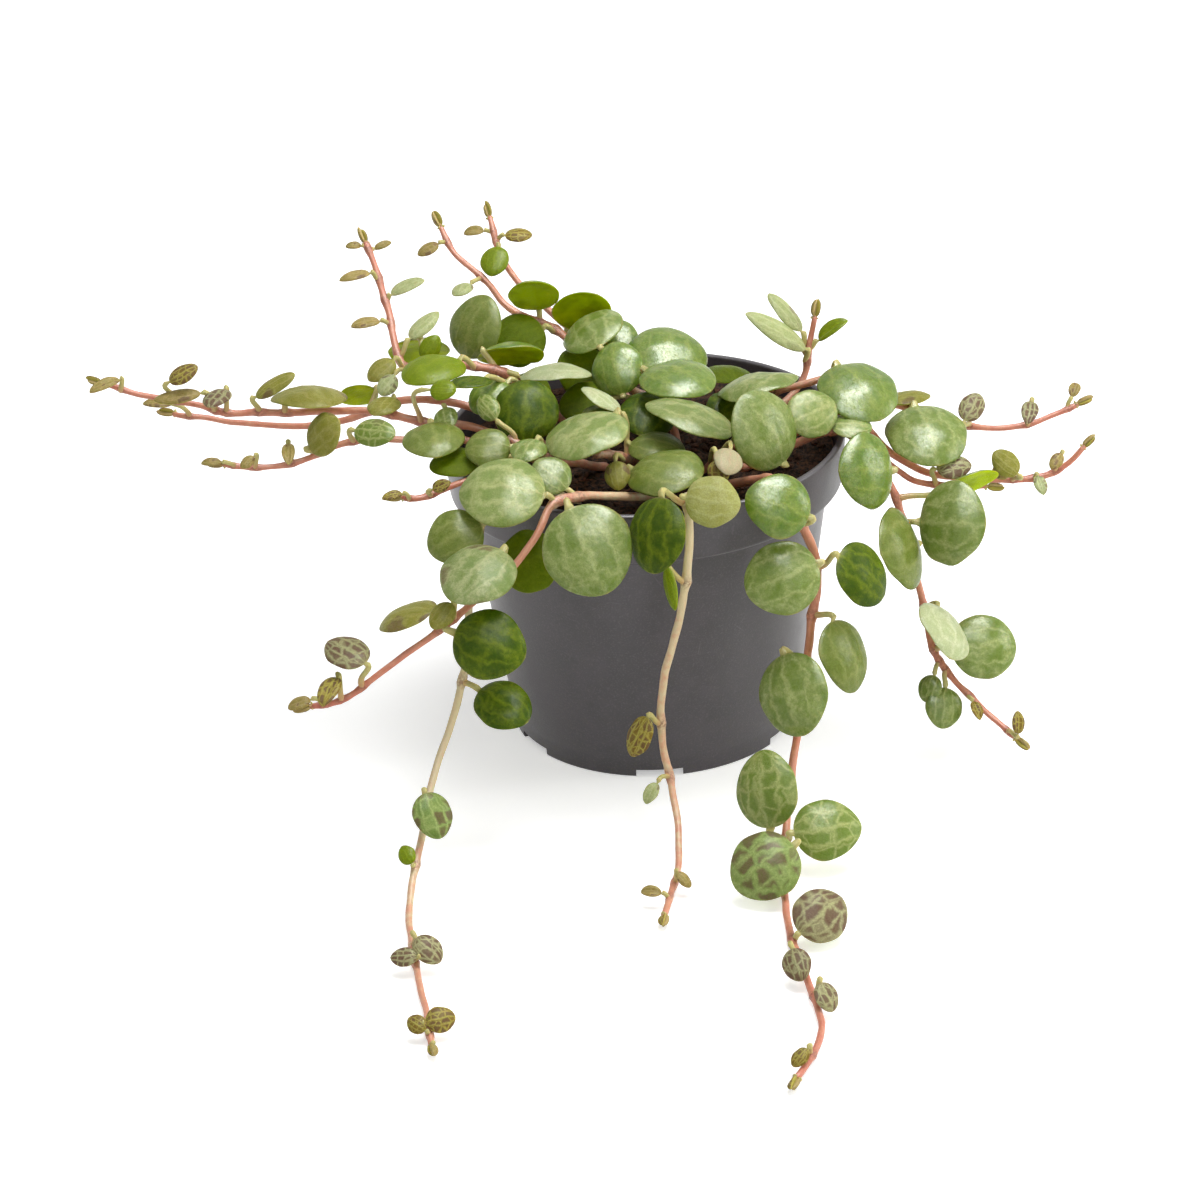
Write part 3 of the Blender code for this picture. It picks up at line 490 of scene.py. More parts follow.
stem("right_hanging", 0.7, 0.4, (0.5, 1), [
    (14, -6), (22, -6.2, 46.3), (29.3, -7, 48.3), (34.8, -8.2, 42), (37.2, -9.6, 36.6), (39.8, -12, 24.8),
    (41.6, -15.5, 16), (44.9, -17.5, 11.3), (50.3, -22, 6.8), (53, -25, 5.4),
], full=[
    (3, (32.2, -13.2, 44.8), (38, 26), 9.8, 11.4, "green"),
    (4.2, (44.4, -14.8, 36.4), (-32, 28), 10.6, 12.6, "soft"),
    (4.5, (36.8, -16.8, 33.6), (67, 25), 12, 12.4, "grey"),
    (6, (48.9, -17, 16.9), (10, 35), 10, 9.6, "soft"),
], young=[
    (1.75, (30.5, -7.2, 49.4), (18, 74), 6, 5.8, "light"),
    (3.8, (47.8, -9, 40.2), (200, 36), 8.4, 6.4, "green"),
    (5.3, (42.8, -20.4, 21.6), (78, 46), 11, 9.8, "pale"),
    (7.3, (47.4, -21, 8.4), (20, 50), 3, 1.8, "bud"),
    (6.6, (42.6, -20.2, 8.6), (10, 35), 6.2, 5.6, "soft"),
    (6.3, (40.6, -18.4, 11), (-30, 35), 4.2, 3.8, "soft"),
    (8.5, (53, -26, 8.8), (20, 30), 3.4, 2, "bud"),
])

# %% Front left and trailing left
stem("front_left", 0.7, 0.4, (0.05, 1.1), [
    (3, -13), (-2, -19, 45), (-9, -24.3, 47.8), (-13.4, -28, 48.5), (-17, -31.5, 43.5), (-25.2, -34, 36.6),
    (-34.9, -36, 30.1), (-44, -38, 24.5), (-49.3, -39, 23.8),
], full=[
    (0.5, (2.9, -18.8, 48.6), (-40, 75), 11.4, 11, "grey"),
    (2.9, (-20.6, -27, 50.4), (-10, 60), 12.4, 11.8, "light"),
    (2.6, (-8.6, -36.2, 45), (0, 32), 13.2, 12.8, "soft"),
    (4.6, (-24.3, -38, 43), (-5, 66), 11.4, 10.8, "spotted"),
], young=[
    (2.2, (-13.6, -22.8, 50.8), (10, 50), 6.2, 5.8, "soft"),
    (5.5, (-35, -33, 34.4), (-99, 66), 9.8, 8, "olive"),
    (5.3, (-29.6, -38.4, 37), (-10, 50), 4.6, 3.6, "olive"),
    (6.7, (-43.5, -37.6, 31.6), (0, 72), 7.2, 6, "brown"),
    (7.1, (-46, -41.6, 27.6), (-20, 70), 5.6, 3.2, "bud"),
    (7.6, (-50.6, -40.2, 25), (-20, 60), 3.4, 2.2, "tip"),
])
stem("trailing_left", 0.65, 0.45, (-0.8, 0.7), [
    (-10, -14), (-17, -19, 47.2), (-21.5, -22.5, 48.4), (-25, -26, 41.5), (-26.5, -30, 31), (-27, -33, 26),
    (-29.6, -36, 18.5), (-32.6, -42, 12), (-34.2, -48, 6.7), (-35.9, -58.6, 1.5), (-34.5, -72, 1.1),
    (-32.4, -86, 1.1), (-31.6, -92.5, 1.1),
], young=[
    (2.8, (-27.6, -28.8, 44.4), (-10, 35), 8.4, 8, "grey"),
    (3.6, (-17, -29.2, 40.4), (-10, 26), 9.4, 9, "moss"),
    (4.3, (-23, -41.4, 33.6), (-5, 32), 10.6, 10, "deep"),
    (5.3, (-21.8, -39, 22.6), (-10, 58), 9, 7.6, "deep"),
    (7.6, (-32.2, -49, 10.8), (20, 35), 6.8, 5.8, "patched"),
    (8.4, (-36.2, -52, 6.4), (-20, 40), 3, 2.6, "lime"),
    (9.7, (-32.6, -72.6, 3.5), (10, 50), 4.8, 3.8, "brown"),
    (10, (-36, -73.2, 2.9), (-20, 52), 3.8, 2.8, "brown"),
    (11.2, (-30.4, -89, 2.9), (10, 48), 4, 3.6, "bud"),
    (11.5, (-33.6, -89.4, 2.6), (-15, 48), 3, 2.6, "bud"),
])

# %% Trailing middle and right
stem("trailing_middle", 0.7, 0.45, (-0.4, 0.6), [
    (6, -17), (5.7, -23.5, 45.5), (5.6, -28.2, 48.7), (5.7, -32, 46.2), (5.4, -32.8, 41), (3.9, -33, 32.3),
    (1.2, -34, 23), (0.6, -35, 14.4), (2, -40, 6), (2.3, -47.5, 1.9), (1.2, -55, 1.1), (-0.2, -63, 1.1),
], full=[
    (2.3, (1, -36, 46.8), (-42, 26), 10.8, 10, "deep"),
], young=[
    (2.2, (9.2, -33, 50.2), (0, 32), 7.8, 7.4, "plain"),
    (4.4, (2.6, -35.6, 38.2), (-50, 20), 6.4, 2.4, "lime"),
    (6.8, (-2.8, -37.4, 15.6), (-45, 28), 6.2, 4.6, "bud"),
    (7.6, (-1.4, -41.6, 8.6), (-20, 40), 3.4, 2.2, "silver"),
    (9.9, (2.8, -55.8, 2.6), (40, 50), 2.8, 1.9, "tip"),
    (10.4, (-2, -58.4, 2.4), (-20, 55), 3, 1.8, "tip"),
])
stem("trailing_right", 0.75, 0.45, (0.5, 1), [
    (12, -11), (16, -18.6, 46.6), (18.6, -24, 48.5), (22, -26.2, 42.5), (24, -26, 35), (22.5, -27.8, 25.5),
    (20, -33, 12), (18, -43, 5), (16.8, -55, 1.4), (17, -69, 1.1), (19.2, -85, 1.1), (19.6, -94, 1.1),
    (15.8, -104, 1.1),
], full=[
    (3.9, (18.6, -31.5, 37), (-5, 30), 11, 10.6, "soft"),
    (5.3, (19.6, -36.5, 20.8), (-35, 28), 12.2, 11.2, "soft"),
], young=[
    (2.9, (18.4, -29.6, 47.6), (10, 35), 9.6, 9.2, "green"),
    (3.9, (30.4, -28.6, 35.4), (48, 26), 10.2, 9.4, "deep"),
    (4.7, (27.4, -31.6, 24), (52, 24), 10.8, 10, "grey"),
    (6.8, (15, -45, 10.4), (-34, 28), 11.2, 9.8, "net"),
    (7.4, (23.4, -50, 6.3), (10, 45), 9.8, 9, "net"),
    (7.8, (14, -58, 5.4), (-10, 44), 10.2, 10, "patched"),
    (9.1, (21.2, -69.4, 4.2), (20, 48), 8.2, 7.6, "brown"),
    (9.4, (17.2, -80.4, 3.4), (-20, 48), 4.8, 4, "brown"),
    (10, (20.8, -88, 3), (30, 48), 4.2, 3.4, "brown"),
    (11.5, (16.4, -101.4, 2.7), (-20, 50), 3, 2.2, "bud"),
])

# %% The crown
stem("crown_left", 0.7, 0.5, (0.5, 0.3), [
    (-6, -3), (-10, -9, 46), (-15, -12.5, 49), (-20, -10.5, 51.4),
], full=[
    (2.6, (-17.2, -5, 53.2), (0, 40), 9.6, 9.6, "deep"),
    (1.8, (-22.7, -15.5, 52.2), (-5, 50), 6.6, 6.4, "grey"),
    (2.4, (-27.7, -14.6, 49.9), (-10, 78), 7.4, 7, "moss"),
], young=[
    (2.8, (-22.7, -8, 55.3), (-30, 42), 4.8, 3.4, "net"),
    (2, (-16.8, -17.2, 52.4), (0, 80), 5.8, 5.4, "soft"),
])
stem("crown_middle", 0.7, 0.5, (0.5, 0.3), [
    (-0.5, -4.5), (-2, -8, 45.8), (-4.6, -11.6, 48.2), (-7.4, -13.6, 49.6),
], full=[
    (2.9, (-8.4, -14.5, 53.2), (-53, 77), 12.6, 12.4, "light"),
    (0.9, (1.8, -9.6, 48.3), (10, 80), 8.4, 8.2, "grey"),
], young=[
    (1.7, (-4.2, -18.4, 48.2), (-10, 42), 4.4, 3.8, "olive"),
    (2.2, (-6.6, -5, 51.4), (20, 70), 6, 5.6, "grey"),
    (0.6, (0.7, -0.4, 49.8), (20, 62), 8.8, 8.4, "deep"),
    # this leaf's pale look is partly painted highlight
    (1.2, (-6.1, -4, 54.2), (95, 62), 6.6, 6, "pale"),
])
stem("crown_back", 0.7, 0.5, (0.5, 0.3), [
    (5, 2), (4, 3.2, 46.8), (1, 4.5, 49.5), (-3.2, 8.4, 51.8), (-5, 11, 53.6),
], full=[
    (1.5, (3.8, 10.5, 53.9), (15, 62), 12.6, 12.6, "green"),
    (3.9, (-7.2, 15, 57.1), (-75, 65), 10.8, 10, "soft"),
    (2, (5.4, 0.8, 54.6), (10, 84), 11.6, 11.6, "green"),
    (2.8, (-3.6, 5.8, 54.7), (-20, 42), 8.6, 8, "green"),
], young=[
    (2.8, (-7.8, 13, 51.4), (0, 60), 11, 10.4, "moss"),
    (3.5, (-3.3, 17, 55.1), (10, 60), 6.8, 6.4, "green"),
    (2.3, (-8.6, 3.4, 50.2), (0, 50), 8, 7.6, "moss"),
])
stem("crown_right", 0.7, 0.5, (0.5, 0.6), [
    (8.5, -6.5), (12, -8.5, 47), (16, -9.5, 48.6), (19.5, -10.2, 48.8),
], full=[
    (1.2, (6.9, -7.5, 52), (98, 71), 13.8, 12.4, "light"),
    (1.9, (17.3, -12.8, 51.9), (35, 24), 12, 11.4, "soft"),
    (2.6, (24.8, -7.8, 51.9), (20, 40), 8, 7.4, "light"),
], young=[
    (0.5, (10.4, -19.6, 48.4), (0, 30), 3.8, 3.2, "bud"),
    (0.6, (11.9, -19.3, 50.1), (40, 60), 5.2, 4.4, "blush"),
])
stem("crown_far_right", 0.7, 0.5, (0.5, 0.3), [
    (11, 7), (16.5, 8, 47.6), (23.5, 6.5, 50.2), (29, 5.8, 52),
], full=[
    (1.5, (17, 2, 52.2), (-140, 73), 12.8, 12.6, "light"),
    (2.9, (32, -1.2, 52.2), (20, 68), 12.6, 12.2, "green"),
], young=[
    (0.9, (12.4, 14.4, 49.2), (180, 80), 8.4, 8, "moss"),
    (0.45, (12.5, 3.6, 48.2), (20, 62), 7, 6.6, "deep"),
])

# %% [markdown]
# ## Walking along a stem
#
# A stem could be a curve object, but the leaves need to know where the stem is and which way it heads
# at any place between its points. A Catmull-Rom curve gives both from four neighbouring points. The
# first point of a stem has no height: it sits on the soil, whose level is a formula.

# %% Curve and soil level
RIM_RADIUS = 30
POT_HEIGHT = 47
SOIL_LEVEL = 42.6
SOIL_RISE_AT_BACK = 1


def soil_height(x, y):
    """The level of the soil: a little higher at the back, with low lumps."""
    lumps = 0.15 * math.sin(0.3 * x + 1.3) * math.cos(0.28 * y - 0.4)
    return SOIL_LEVEL + SOIL_RISE_AT_BACK * y / RIM_RADIUS + lumps


def along(route, place):
    """A point on the smooth curve through the route's points, and the way that it heads."""
    last = len(route) - 1
    i = min(int(place), last - 1)
    t = place - i
    b, c = route[i], route[i + 1]
    a = route[i - 1] if i > 0 else 2 * b - c
    d = route[i + 2] if i + 2 <= last else 2 * c - b
    p1, p2, p3 = (c - a) / 2, a - 2.5 * b + 2 * c - d / 2, (3 * (b - c) + d - a) / 2
    where = b + p1 * t + p2 * t * t + p3 * t ** 3
    heading = p1 + 2 * p2 * t + 3 * p3 * t * t
    return where, heading.normalized()


def route_of(name):
    (x, y), *rest = STEMS[name][3]
    return [Vector((x, y, soil_height(x, y))), *(Vector(point) for point in rest)]


ROUTES = {name: route_of(name) for name in STEMS}
lengths = [sum((b - a).length for a, b in zip(route, route[1:])) for route in ROUTES.values()]
print("stem lengths from", round(min(lengths)), "to", round(max(lengths)), "mm")

# %% [markdown]
# ## From rings to a mesh
#
# A stem and a leaf are both lofts: rings of points one after another, joined by four-sided faces and
# closed by a cap at both ends. Beside its place, each point keeps a few numbers for the finish, such
# as how far along the leaf it is. The finish reads them back with an Attribute node, so that each
# leaf wears its pattern in its own direction, wherever it faces.

# %% Loft
def turns(count):
    """Angles spread evenly round a circle."""
    return [2 * math.pi * i / count for i in range(count)]


def turned_out(mesh):
    """Turns every face of a closed mesh to face out."""
    shape = bmesh.new()
    shape.from_mesh(mesh)
    bmesh.ops.recalc_face_normals(shape, faces=shape.faces)
    if shape.calc_volume(signed=True) < 0:
        bmesh.ops.reverse_faces(shape, faces=shape.faces)
    shape.to_mesh(mesh)
    shape.free()


def piece(name, mesh, finish, node=None, axes=None):
    """A piece that rides on the pot. It may stand for a node of the solid model."""
    mesh.materials.append(finish.material)
    made = added(name, mesh)
    made.matrix_world = axes or Matrix()
    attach(made, "root")
    if node:
        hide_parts(node)
    return made


def loft(name, rings, marks, finish, node=None, axes=None):
    """A smooth closed piece through the rings, with named marks for its finish."""
    inverse = (axes or Matrix()).inverted()
    points = [inverse @ (point * MM) for ring in rings for point in ring]
    around = len(rings[0])
    last = len(points) - around
    faces = []
    for first in range(0, last, around):
        for j in range(around):
            k = (j + 1) % around
            faces.append((first + j, first + k, first + around + k, first + around + j))
    faces += [tuple(range(around)), tuple(range(last, len(points)))]
    mesh = bpy.data.meshes.new(name)
    mesh.from_pydata(points, [], faces)
    for mark, values in marks.items():
        layer = mesh.attributes.new(mark, "FLOAT_VECTOR", "POINT")
        layer.data.foreach_set("vector", [number for value in values for number in value])
    turned_out(mesh)
    mesh.shade_smooth()
    return piece(name, mesh, finish, node, axes)


print("a ring of 12 points turns by", round(math.degrees(turns(12)[1])), "degrees a point")

# %% [markdown]
# ## The skin of the stems
#
# The stems are fleshy and a little hairy. They are pale yellow-green where they are old and shaded,
# salmon to brick red further out, and browner at the joints where leaves grow. The mark "stem" holds
# how red the stem is there, how near a joint is, and a number of its own for each stem.

# %% Stem finish
PALE_STEM = colour(206, 188, 146)
SALMON_STEM = colour(202, 138, 108)
BRICK_STEM = colour(186, 106, 80)
BROWN_JOINT = colour(112, 62, 40)

stem_skin = Finish("stem_skin", Roughness=0.42, Subsurface_Weight=0.15, Subsurface_Scale=0.0006)
redness, joint, own = stem_skin.attribute("stem")
where = stem_skin.place()
streaks = stem_skin.speckle(where + own * 40, 0.8, 3)
redness = redness + (streaks - 0.5) * 0.9
skin = stem_skin.blend(PALE_STEM, SALMON_STEM, redness.step(0, 0.55))
skin = stem_skin.blend(skin, BRICK_STEM, redness.step(0.55, 1.15))
scars = joint * stem_skin.speckle(where, 2.5).step(0.3, 0.6) * 0.75
stem_skin.paint("Base Color", stem_skin.blend(skin, BROWN_JOINT, scars))
stem_skin.paint("Normal", stem_skin.bump(stem_skin.speckle(where, 5, 3), 0.12, 0.6))
print("stem finish:", len(stem_skin.tree.nodes), "nodes")

# %% [markdown]
# ## The stems
#
# Each stem tapers from the soil to its tip and swells at every joint. Small waves along it keep it
# from looking like a wire. They come from vector noise, which starts from the clock unless it is given
# a seed, so it gets one, and every run makes the same stems. The tip is drawn in to a blunt point.

# %% Stem meshes
STEM_STEP = 0.9
STEM_SIDES = 10
JOINT_SWELLING = 0.42
JOINT_LENGTH = 0.8
TIP_START = 0.02  # how far before the end the blunt tip starts
BLUNTNESS = 0.45  # the last ring's radius, as a share
UNEVENNESS = 0.1
SWAY = 0.25  # millimetres, from the middle of the route
SWAY_SEED = 7


def stem_places(route):
    """Places along a stem, a step apart, with two close together at its tip."""
    last = len(route) - 1
    places = []
    for i in range(last):
        steps = max(2, round((route[i + 1] - route[i]).length / STEM_STEP))
        places += [i + step / steps for step in range(steps)]
    return [*places, last - TIP_START, last]


def stem_rings(name, number):
    """The stem's rings, and for each point how red it is, how near a joint is, and the stem's number."""
    foot, tip, (red_foot, red_tip), _ = STEMS[name]
    route = ROUTES[name]
    joints = [along(route, row[0])[0] for row in (*FULL_LEAVES[name], *YOUNG_LEAVES[name])]
    rings, marks = [], []
    across = along(route, 0)[1].orthogonal()
    places = stem_places(route)
    for place in places:
        here, heading = along(route, place)
        across = (across - across.dot(heading) * heading).normalized()
        other = heading.cross(across)
        share = place / places[-1]
        nearest = min(((here - joint).length for joint in joints), default=9)
        swelling = math.exp(-(nearest / JOINT_LENGTH) ** 2)
        radius = (foot + (tip - foot) * share) * (1 + JOINT_SWELLING * swelling)
        radius *= 1 + UNEVENNESS * noise.noise(here * 0.5)
        if place == places[-1]:
            radius *= BLUNTNESS
        middle = here + Vector(noise.noise_vector(here * 0.22)) * SWAY * min(1, share * 6)
        ring = [across * math.cos(t) + other * math.sin(t) for t in turns(STEM_SIDES)]
        rings.append([middle + out * radius for out in ring])
        marks += [(red_foot + (red_tip - red_foot) * share, swelling, number * 0.37)] * STEM_SIDES
    return rings, marks


noise.seed_set(SWAY_SEED)
faces = 0
for number, name in enumerate(STEMS):
    rings, marks = stem_rings(name, number)
    made = loft(f"fine_stem_{name}", rings, {"stem": marks}, stem_skin, f"stem_{name}")
    faces += len(made.data.polygons)
print(faces, "faces in the stems")

# %% [markdown]
# ## The skin of the leaves
#
# On the real plant, pale silver-green veins run from the stalk to the tip like the longitudes of a
# globe, and finer ones cross between them, so the dark green lies in plates. The finish draws that
# in the leaf's own coordinates. The mark "blade" gives the way from base (-1) to tip (1), the way
# across, and 1 on the upper side. Dividing "across" by the outline's width there turns it into a
# longitude. A Voronoi texture on longitude and latitude gives the plates, and a few fixed longitudes
# give the main veins. The marks "plates" and "veins" are the two colours of the leaf's look, and
# "leaf" holds its share of brown plates, how many plates it has, and its own number. The mark "skin"
# holds the strength of its veins, how waxy it is, and 1 for a small leaf. An underside has no pattern:
# it is a clear lime green with a paler edge, and on a small leaf it has the colour of the veins. The
# lime is brighter than the leaf's own underside: the extra is painted glow of the light that shines
# through the leaf.

# %% Leaf coordinates
leaf_skin = Finish("leaf_skin", Specular_IOR_Level=0.04, Coat_Roughness=0.26,
                   Subsurface_Weight=0.1, Subsurface_Scale=0.0008)
way, side, upper = leaf_skin.attribute("blade")
brown, cells, own = leaf_skin.attribute("leaf")
vein_strength, wax, small = leaf_skin.attribute("skin")
where = leaf_skin.place()
shifted = where + leaf_skin.vector(own * 17, own * 31, own * 7)

wander = leaf_skin.speckle(shifted, 0.3) - 0.5
ripple = leaf_skin.speckle(shifted, 0.9) - 0.5
half = (1.05 - way * way).at_least(0.06).root()
longitude = side / half + wander * 0.6 + ripple * 0.22
cloud = leaf_skin.speckle(shifted, 0.55, 3).step(0.3, 0.72)
mottle = leaf_skin.speckle(shifted, 2.2, 3, 0.7).step(0.35, 0.68)
print("leaf coordinates:", len(leaf_skin.tree.nodes), "nodes")

# %% Veins
MAIN_VEINS = ((0, 0.08, 1), (0.52, 0.06, 0.85), (-0.52, 0.06, 0.85))  # longitude, width, strength

lines = []
for line, width, weight in MAIN_VEINS:
    lines.append((longitude - line).size().step(0, width * 2.1, 1, 0) * weight)
main = lines[0].at_least(lines[1]).at_least(lines[2]) * way.step(0.4, 1, 1, 0.35)
ripple_on = leaf_skin.speckle(shifted + 11, 0.9) - 0.5
latitude = way * cells * 1.15 + wander * 0.8 + ripple_on * 0.25
net_place = leaf_skin.vector(longitude * cells, latitude, own * 9)
between = leaf_skin.plates("DISTANCE_TO_EDGE", net_place, 1, 0.85)
crossing = (1 - between / (0.34 - cells * 0.12)).at_least(0)
netted = cells.step(1.25, 1.5)
base = (way + 1).size().at_least(side.size()).step(0.05, 0.4, 0.45, 0)
broken = leaf_skin.speckle(shifted + 23, 1.1, 3, 0.6).step(0.32, 0.62, 0.25, 1).at_least(netted)
veins = main.at_least(crossing * 0.85 * broken).at_least(base) * vein_strength * (0.85 + mottle * 0.3)
veins = (veins + cloud * (0.2 - netted * 0.1) + mottle * 0.12).up_to(1)
print("with veins:", len(leaf_skin.tree.nodes), "nodes")

# %% Leaf colours, wax and wrinkles
# The two limes of the underside are partly its own colour and partly painted glow: brighter than the leaf's
# own, for the light that shines through it.
LIME_WITH_PAINTED_GLOW = colour(176, 198, 8)
DEEP_LIME_WITH_PAINTED_GLOW = colour(142, 162, 4)
BROWN_PLATE = colour(98, 70, 56)
EDGE = colour(170, 160, 96)
STALK = colour(188, 180, 116)
STALK_FOOT = colour(198, 150, 112)

vein_colour = leaf_skin.mark("veins")
chance, _, _ = leaf_skin.parts(leaf_skin.plates("F1", net_place, 1, 0.85, out=1))
browned = (chance - brown).step(-0.06, 0.02, 1, 0) * between.step(0.03, 0.14) * brown.step(0.02, 0.1)
plate = leaf_skin.blend(leaf_skin.mark("plates"), BROWN_PLATE, browned * (0.55 + mottle * 0.45))
grain = leaf_skin.speckle(shifted, 5, 3, 0.7).step(0.3, 0.7, 0.86, 1.12)
skin = leaf_skin.scaled(leaf_skin.blend(plate, vein_colour, veins), grain)
# The underside: lime with painted glow of light through the leaf, and on a small leaf the vein colour.
lower = leaf_skin.blend(LIME_WITH_PAINTED_GLOW, DEEP_LIME_WITH_PAINTED_GLOW, leaf_skin.speckle(shifted, 0.3).step(0.35, 0.7))
lower = leaf_skin.blend(lower, vein_colour, small)
on_top = upper.step(0.35, 0.65)
skin = leaf_skin.blend(lower, skin, on_top)
margin = (side / half).size().at_least(way.size()).step(0.95, 1.02)
skin = leaf_skin.blend(skin, EDGE, margin * 0.5)
skin = leaf_skin.blend(skin, STALK, way.step(-1.12, -0.92, 1, 0))
skin = leaf_skin.blend(skin, STALK_FOOT, way.step(-2, -1.5, 0.8, 0))
leaf_skin.paint("Base Color", skin)
leaf_skin.paint("Roughness", 0.34 + mottle * 0.12)
patches = leaf_skin.speckle(shifted + 41, 1.6, 5, 0.8).step(0.32, 0.58, 0.25, 1)
leaf_skin.paint("Coat Weight", wax * on_top * patches)
wrinkles = leaf_skin.speckle(where, 2.6, 5, 0.75)
leaf_skin.paint("Normal", leaf_skin.bump(wrinkles + main * 0.3, 0.26, 0.55))
print("leaf finish:", len(leaf_skin.tree.nodes), "nodes")

# %% [markdown]
# ## The leaves
#
# A leaf is a thick round lens on a stalk. One loft does both: round rings along the stalk, which bends
# out of the stem and into the blade, then flat ones across the blade. The rings lie closer together
# at both ends, where the outline turns. The upper side is domed, the margin is rounded, and small
# waves make no two leaves alike.

# %% Blade
BLADE_RINGS = 22
RING_SIDES = 24
EDGE_WOBBLE = 0.07
EDGE_THICKNESS = 0.22
THINNEST = 0.12


def facing(turn, lift):
    """The way of a blade's upper side: turned about the pot's axis from the front, and lifted."""
    turn, lift = math.radians(turn), math.radians(lift)
    return Vector((math.sin(turn) * math.cos(lift), -math.cos(turn) * math.cos(lift), math.sin(lift)))


def outline(way, point):
    """Half the blade's width, as a share of its greatest, from base (-1) to tip (1)."""
    round_part = math.sqrt(max(0, 1 - way * way))
    return round_part * (1 - point * 0.55 * max(0, way) ** 2) * (1 - 0.06 * way)


def signed_power(value, power):
    return math.copysign(abs(value) ** power, value)


def blade_ring(way, shape):
    """The points of one ring across the blade, in the leaf's own axes, and their marks."""
    length, width, thickness, dome, fold, point, seed = shape
    half = max(width / 2 * outline(way, point), THINNEST)
    swell = (1 - way ** 4) ** 0.7 if abs(way) < 1 else 0
    ring, marks = [], []
    for t in turns(RING_SIDES):
        side, up = math.cos(t), math.sin(t)
        plump = thickness * (0.5 if up > 0 else 0.42) * signed_power(up, 1.15)
        uneven = 1 + EDGE_WOBBLE * noise.noise(Vector((way * 1.6, math.copysign(3, side), seed * 23)))
        x = way * length / 2
        y = half * signed_power(side, 0.9) * uneven
        rise = dome * width * (1 - way * way) - dome * 0.9 * width * (2 * y / width) ** 2
        rise += fold * abs(y) - 0.12 * fold * width
        wave = 0.03 * width * noise.noise(Vector((x * 0.28, y * 0.28, seed * 7)))
        z = plump * max(EDGE_THICKNESS, swell) + rise + wave - thickness / 4
        ring.append(Vector((x, y, z)))
        marks.append((way, 2 * y / width, 1 if up > 0.01 else 0 if up < -0.01 else 0.5))
    return ring, marks


print("half way to its tip a round blade has", round(outline(0.5, 0), 2), "of its full width")

# %% Leaf
STALK_RADIUS = 0.42
STALK_RINGS = 9
LARGE_LEAF = 8
SMALL_LEAF = 5.7  # a leaf shorter than this may still be folded along its middle
FOLDED_SHARE = 0.66  # and is, where it is narrower than this share of its length


def bezier(a, b, c, d, t):
    s = 1 - t
    return a * s ** 3 + b * 3 * s * s * t + c * 3 * s * t * t + d * t ** 3


def blade_shape(length, width, full, draw):
    """What blade_ring needs: sizes, dome, fold, how pointed the tip is, and a seed."""
    thickness = 1.25 if full else 0.55 + 0.065 * length
    dome = draw.uniform(0.1, 0.13) if length > LARGE_LEAF else draw.uniform(0.04, 0.08)
    point = draw.uniform(0, 0.25) if full else draw.uniform(0.1, 0.4)
    folded = length < SMALL_LEAF and width < FOLDED_SHARE * length
    fold = draw.uniform(0.25, 0.7) if folded else 0
    return length, width, thickness, dome, fold, point, draw.random()


def leaf_rings(name, row, full, draw):
    """The leaf's rings in the plant's frame, their marks, and the matrix of the leaf's own axes."""
    place, centre, (turn, lift), length, width = row
    root, heading = along(ROUTES[name], place)
    centre = Vector(centre)
    up = facing(turn, lift)
    outwards = centre - root
    sideways = (outwards - outwards.dot(heading) * heading).normalized()
    axis = (outwards - outwards.dot(up) * up).normalized()
    across = up.cross(axis)
    own = Matrix.Translation(centre * MM) @ Matrix((axis, across, up)).transposed().to_4x4()

    stalk = STALK_RADIUS * (1 if full else 0.62 + 0.38 * min(1, length / 9))
    shape = blade_shape(length, width, full, draw)
    margin = centre - axis * (length / 2)
    pull = 0.4 * (margin - root).length
    bends = (root, root + sideways * pull, margin - axis * pull, margin)
    rings, marks = [], []
    for i in range(STALK_RINGS):
        t = i / STALK_RINGS
        here = bezier(*bends, t)
        way_on = (bezier(*bends, t + 0.04) - here).normalized()
        side = (across - across.dot(way_on) * way_on).normalized()
        top = way_on.cross(side)
        radius = stalk * (1 + 0.5 * (1 - t) ** 6 + 0.25 * t ** 4)
        rings.append([here + (side * math.cos(a) + top * math.sin(a)) * radius for a in turns(RING_SIDES)])
        marks += [(-2 + 0.9 * t, 0, 0.5 + 0.5 * math.sin(a)) for a in turns(RING_SIDES)]
    for i in range(BLADE_RINGS):
        share = (i + 0.75) / (BLADE_RINGS - 0.15)
        ring, ring_marks = blade_ring(-math.cos(math.pi * share), shape)
        rings.append([centre + axis * p.x + across * p.y + up * p.z for p in ring])
        marks += ring_marks
    return rings, marks, own


print("a leaf has", STALK_RINGS + BLADE_RINGS, "rings of", RING_SIDES, "points")

# %% Grow the leaves
TIP_LEAF = (2, 2.8)  # the least and greatest length of a leaf that closes a tip


def grow_leaf(label, stem_name, row, full=False):
    """One leaf. Its label is the seed of all that is drawn at random for it."""
    *shape, look = row
    plates, veins, brown, cells, strength, wax = LOOKS[look]
    draw = random.Random(label)
    rings, blade, own = leaf_rings(stem_name, shape, full, draw)
    tone = draw.uniform(0.92, 1.06)
    brown = brown * draw.uniform(0.85, 1.1) if brown < 1 else 1.1
    same_everywhere = {
        "plates": [tone * part for part in colour(*plates)[:3]],
        "veins": [tone * part for part in colour(*veins)[:3]],
        "leaf": (brown, cells * draw.uniform(0.92, 1.08), draw.random()),
        "skin": (strength, wax, float(row[3] < SMALL_LEAF)),
    }
    marks = {"blade": blade}
    marks.update((mark, [value] * len(blade)) for mark, value in same_everywhere.items())
    name = f"fine_{label}" if full else label
    return loft(name, rings, marks, leaf_skin, label if full else None, own)


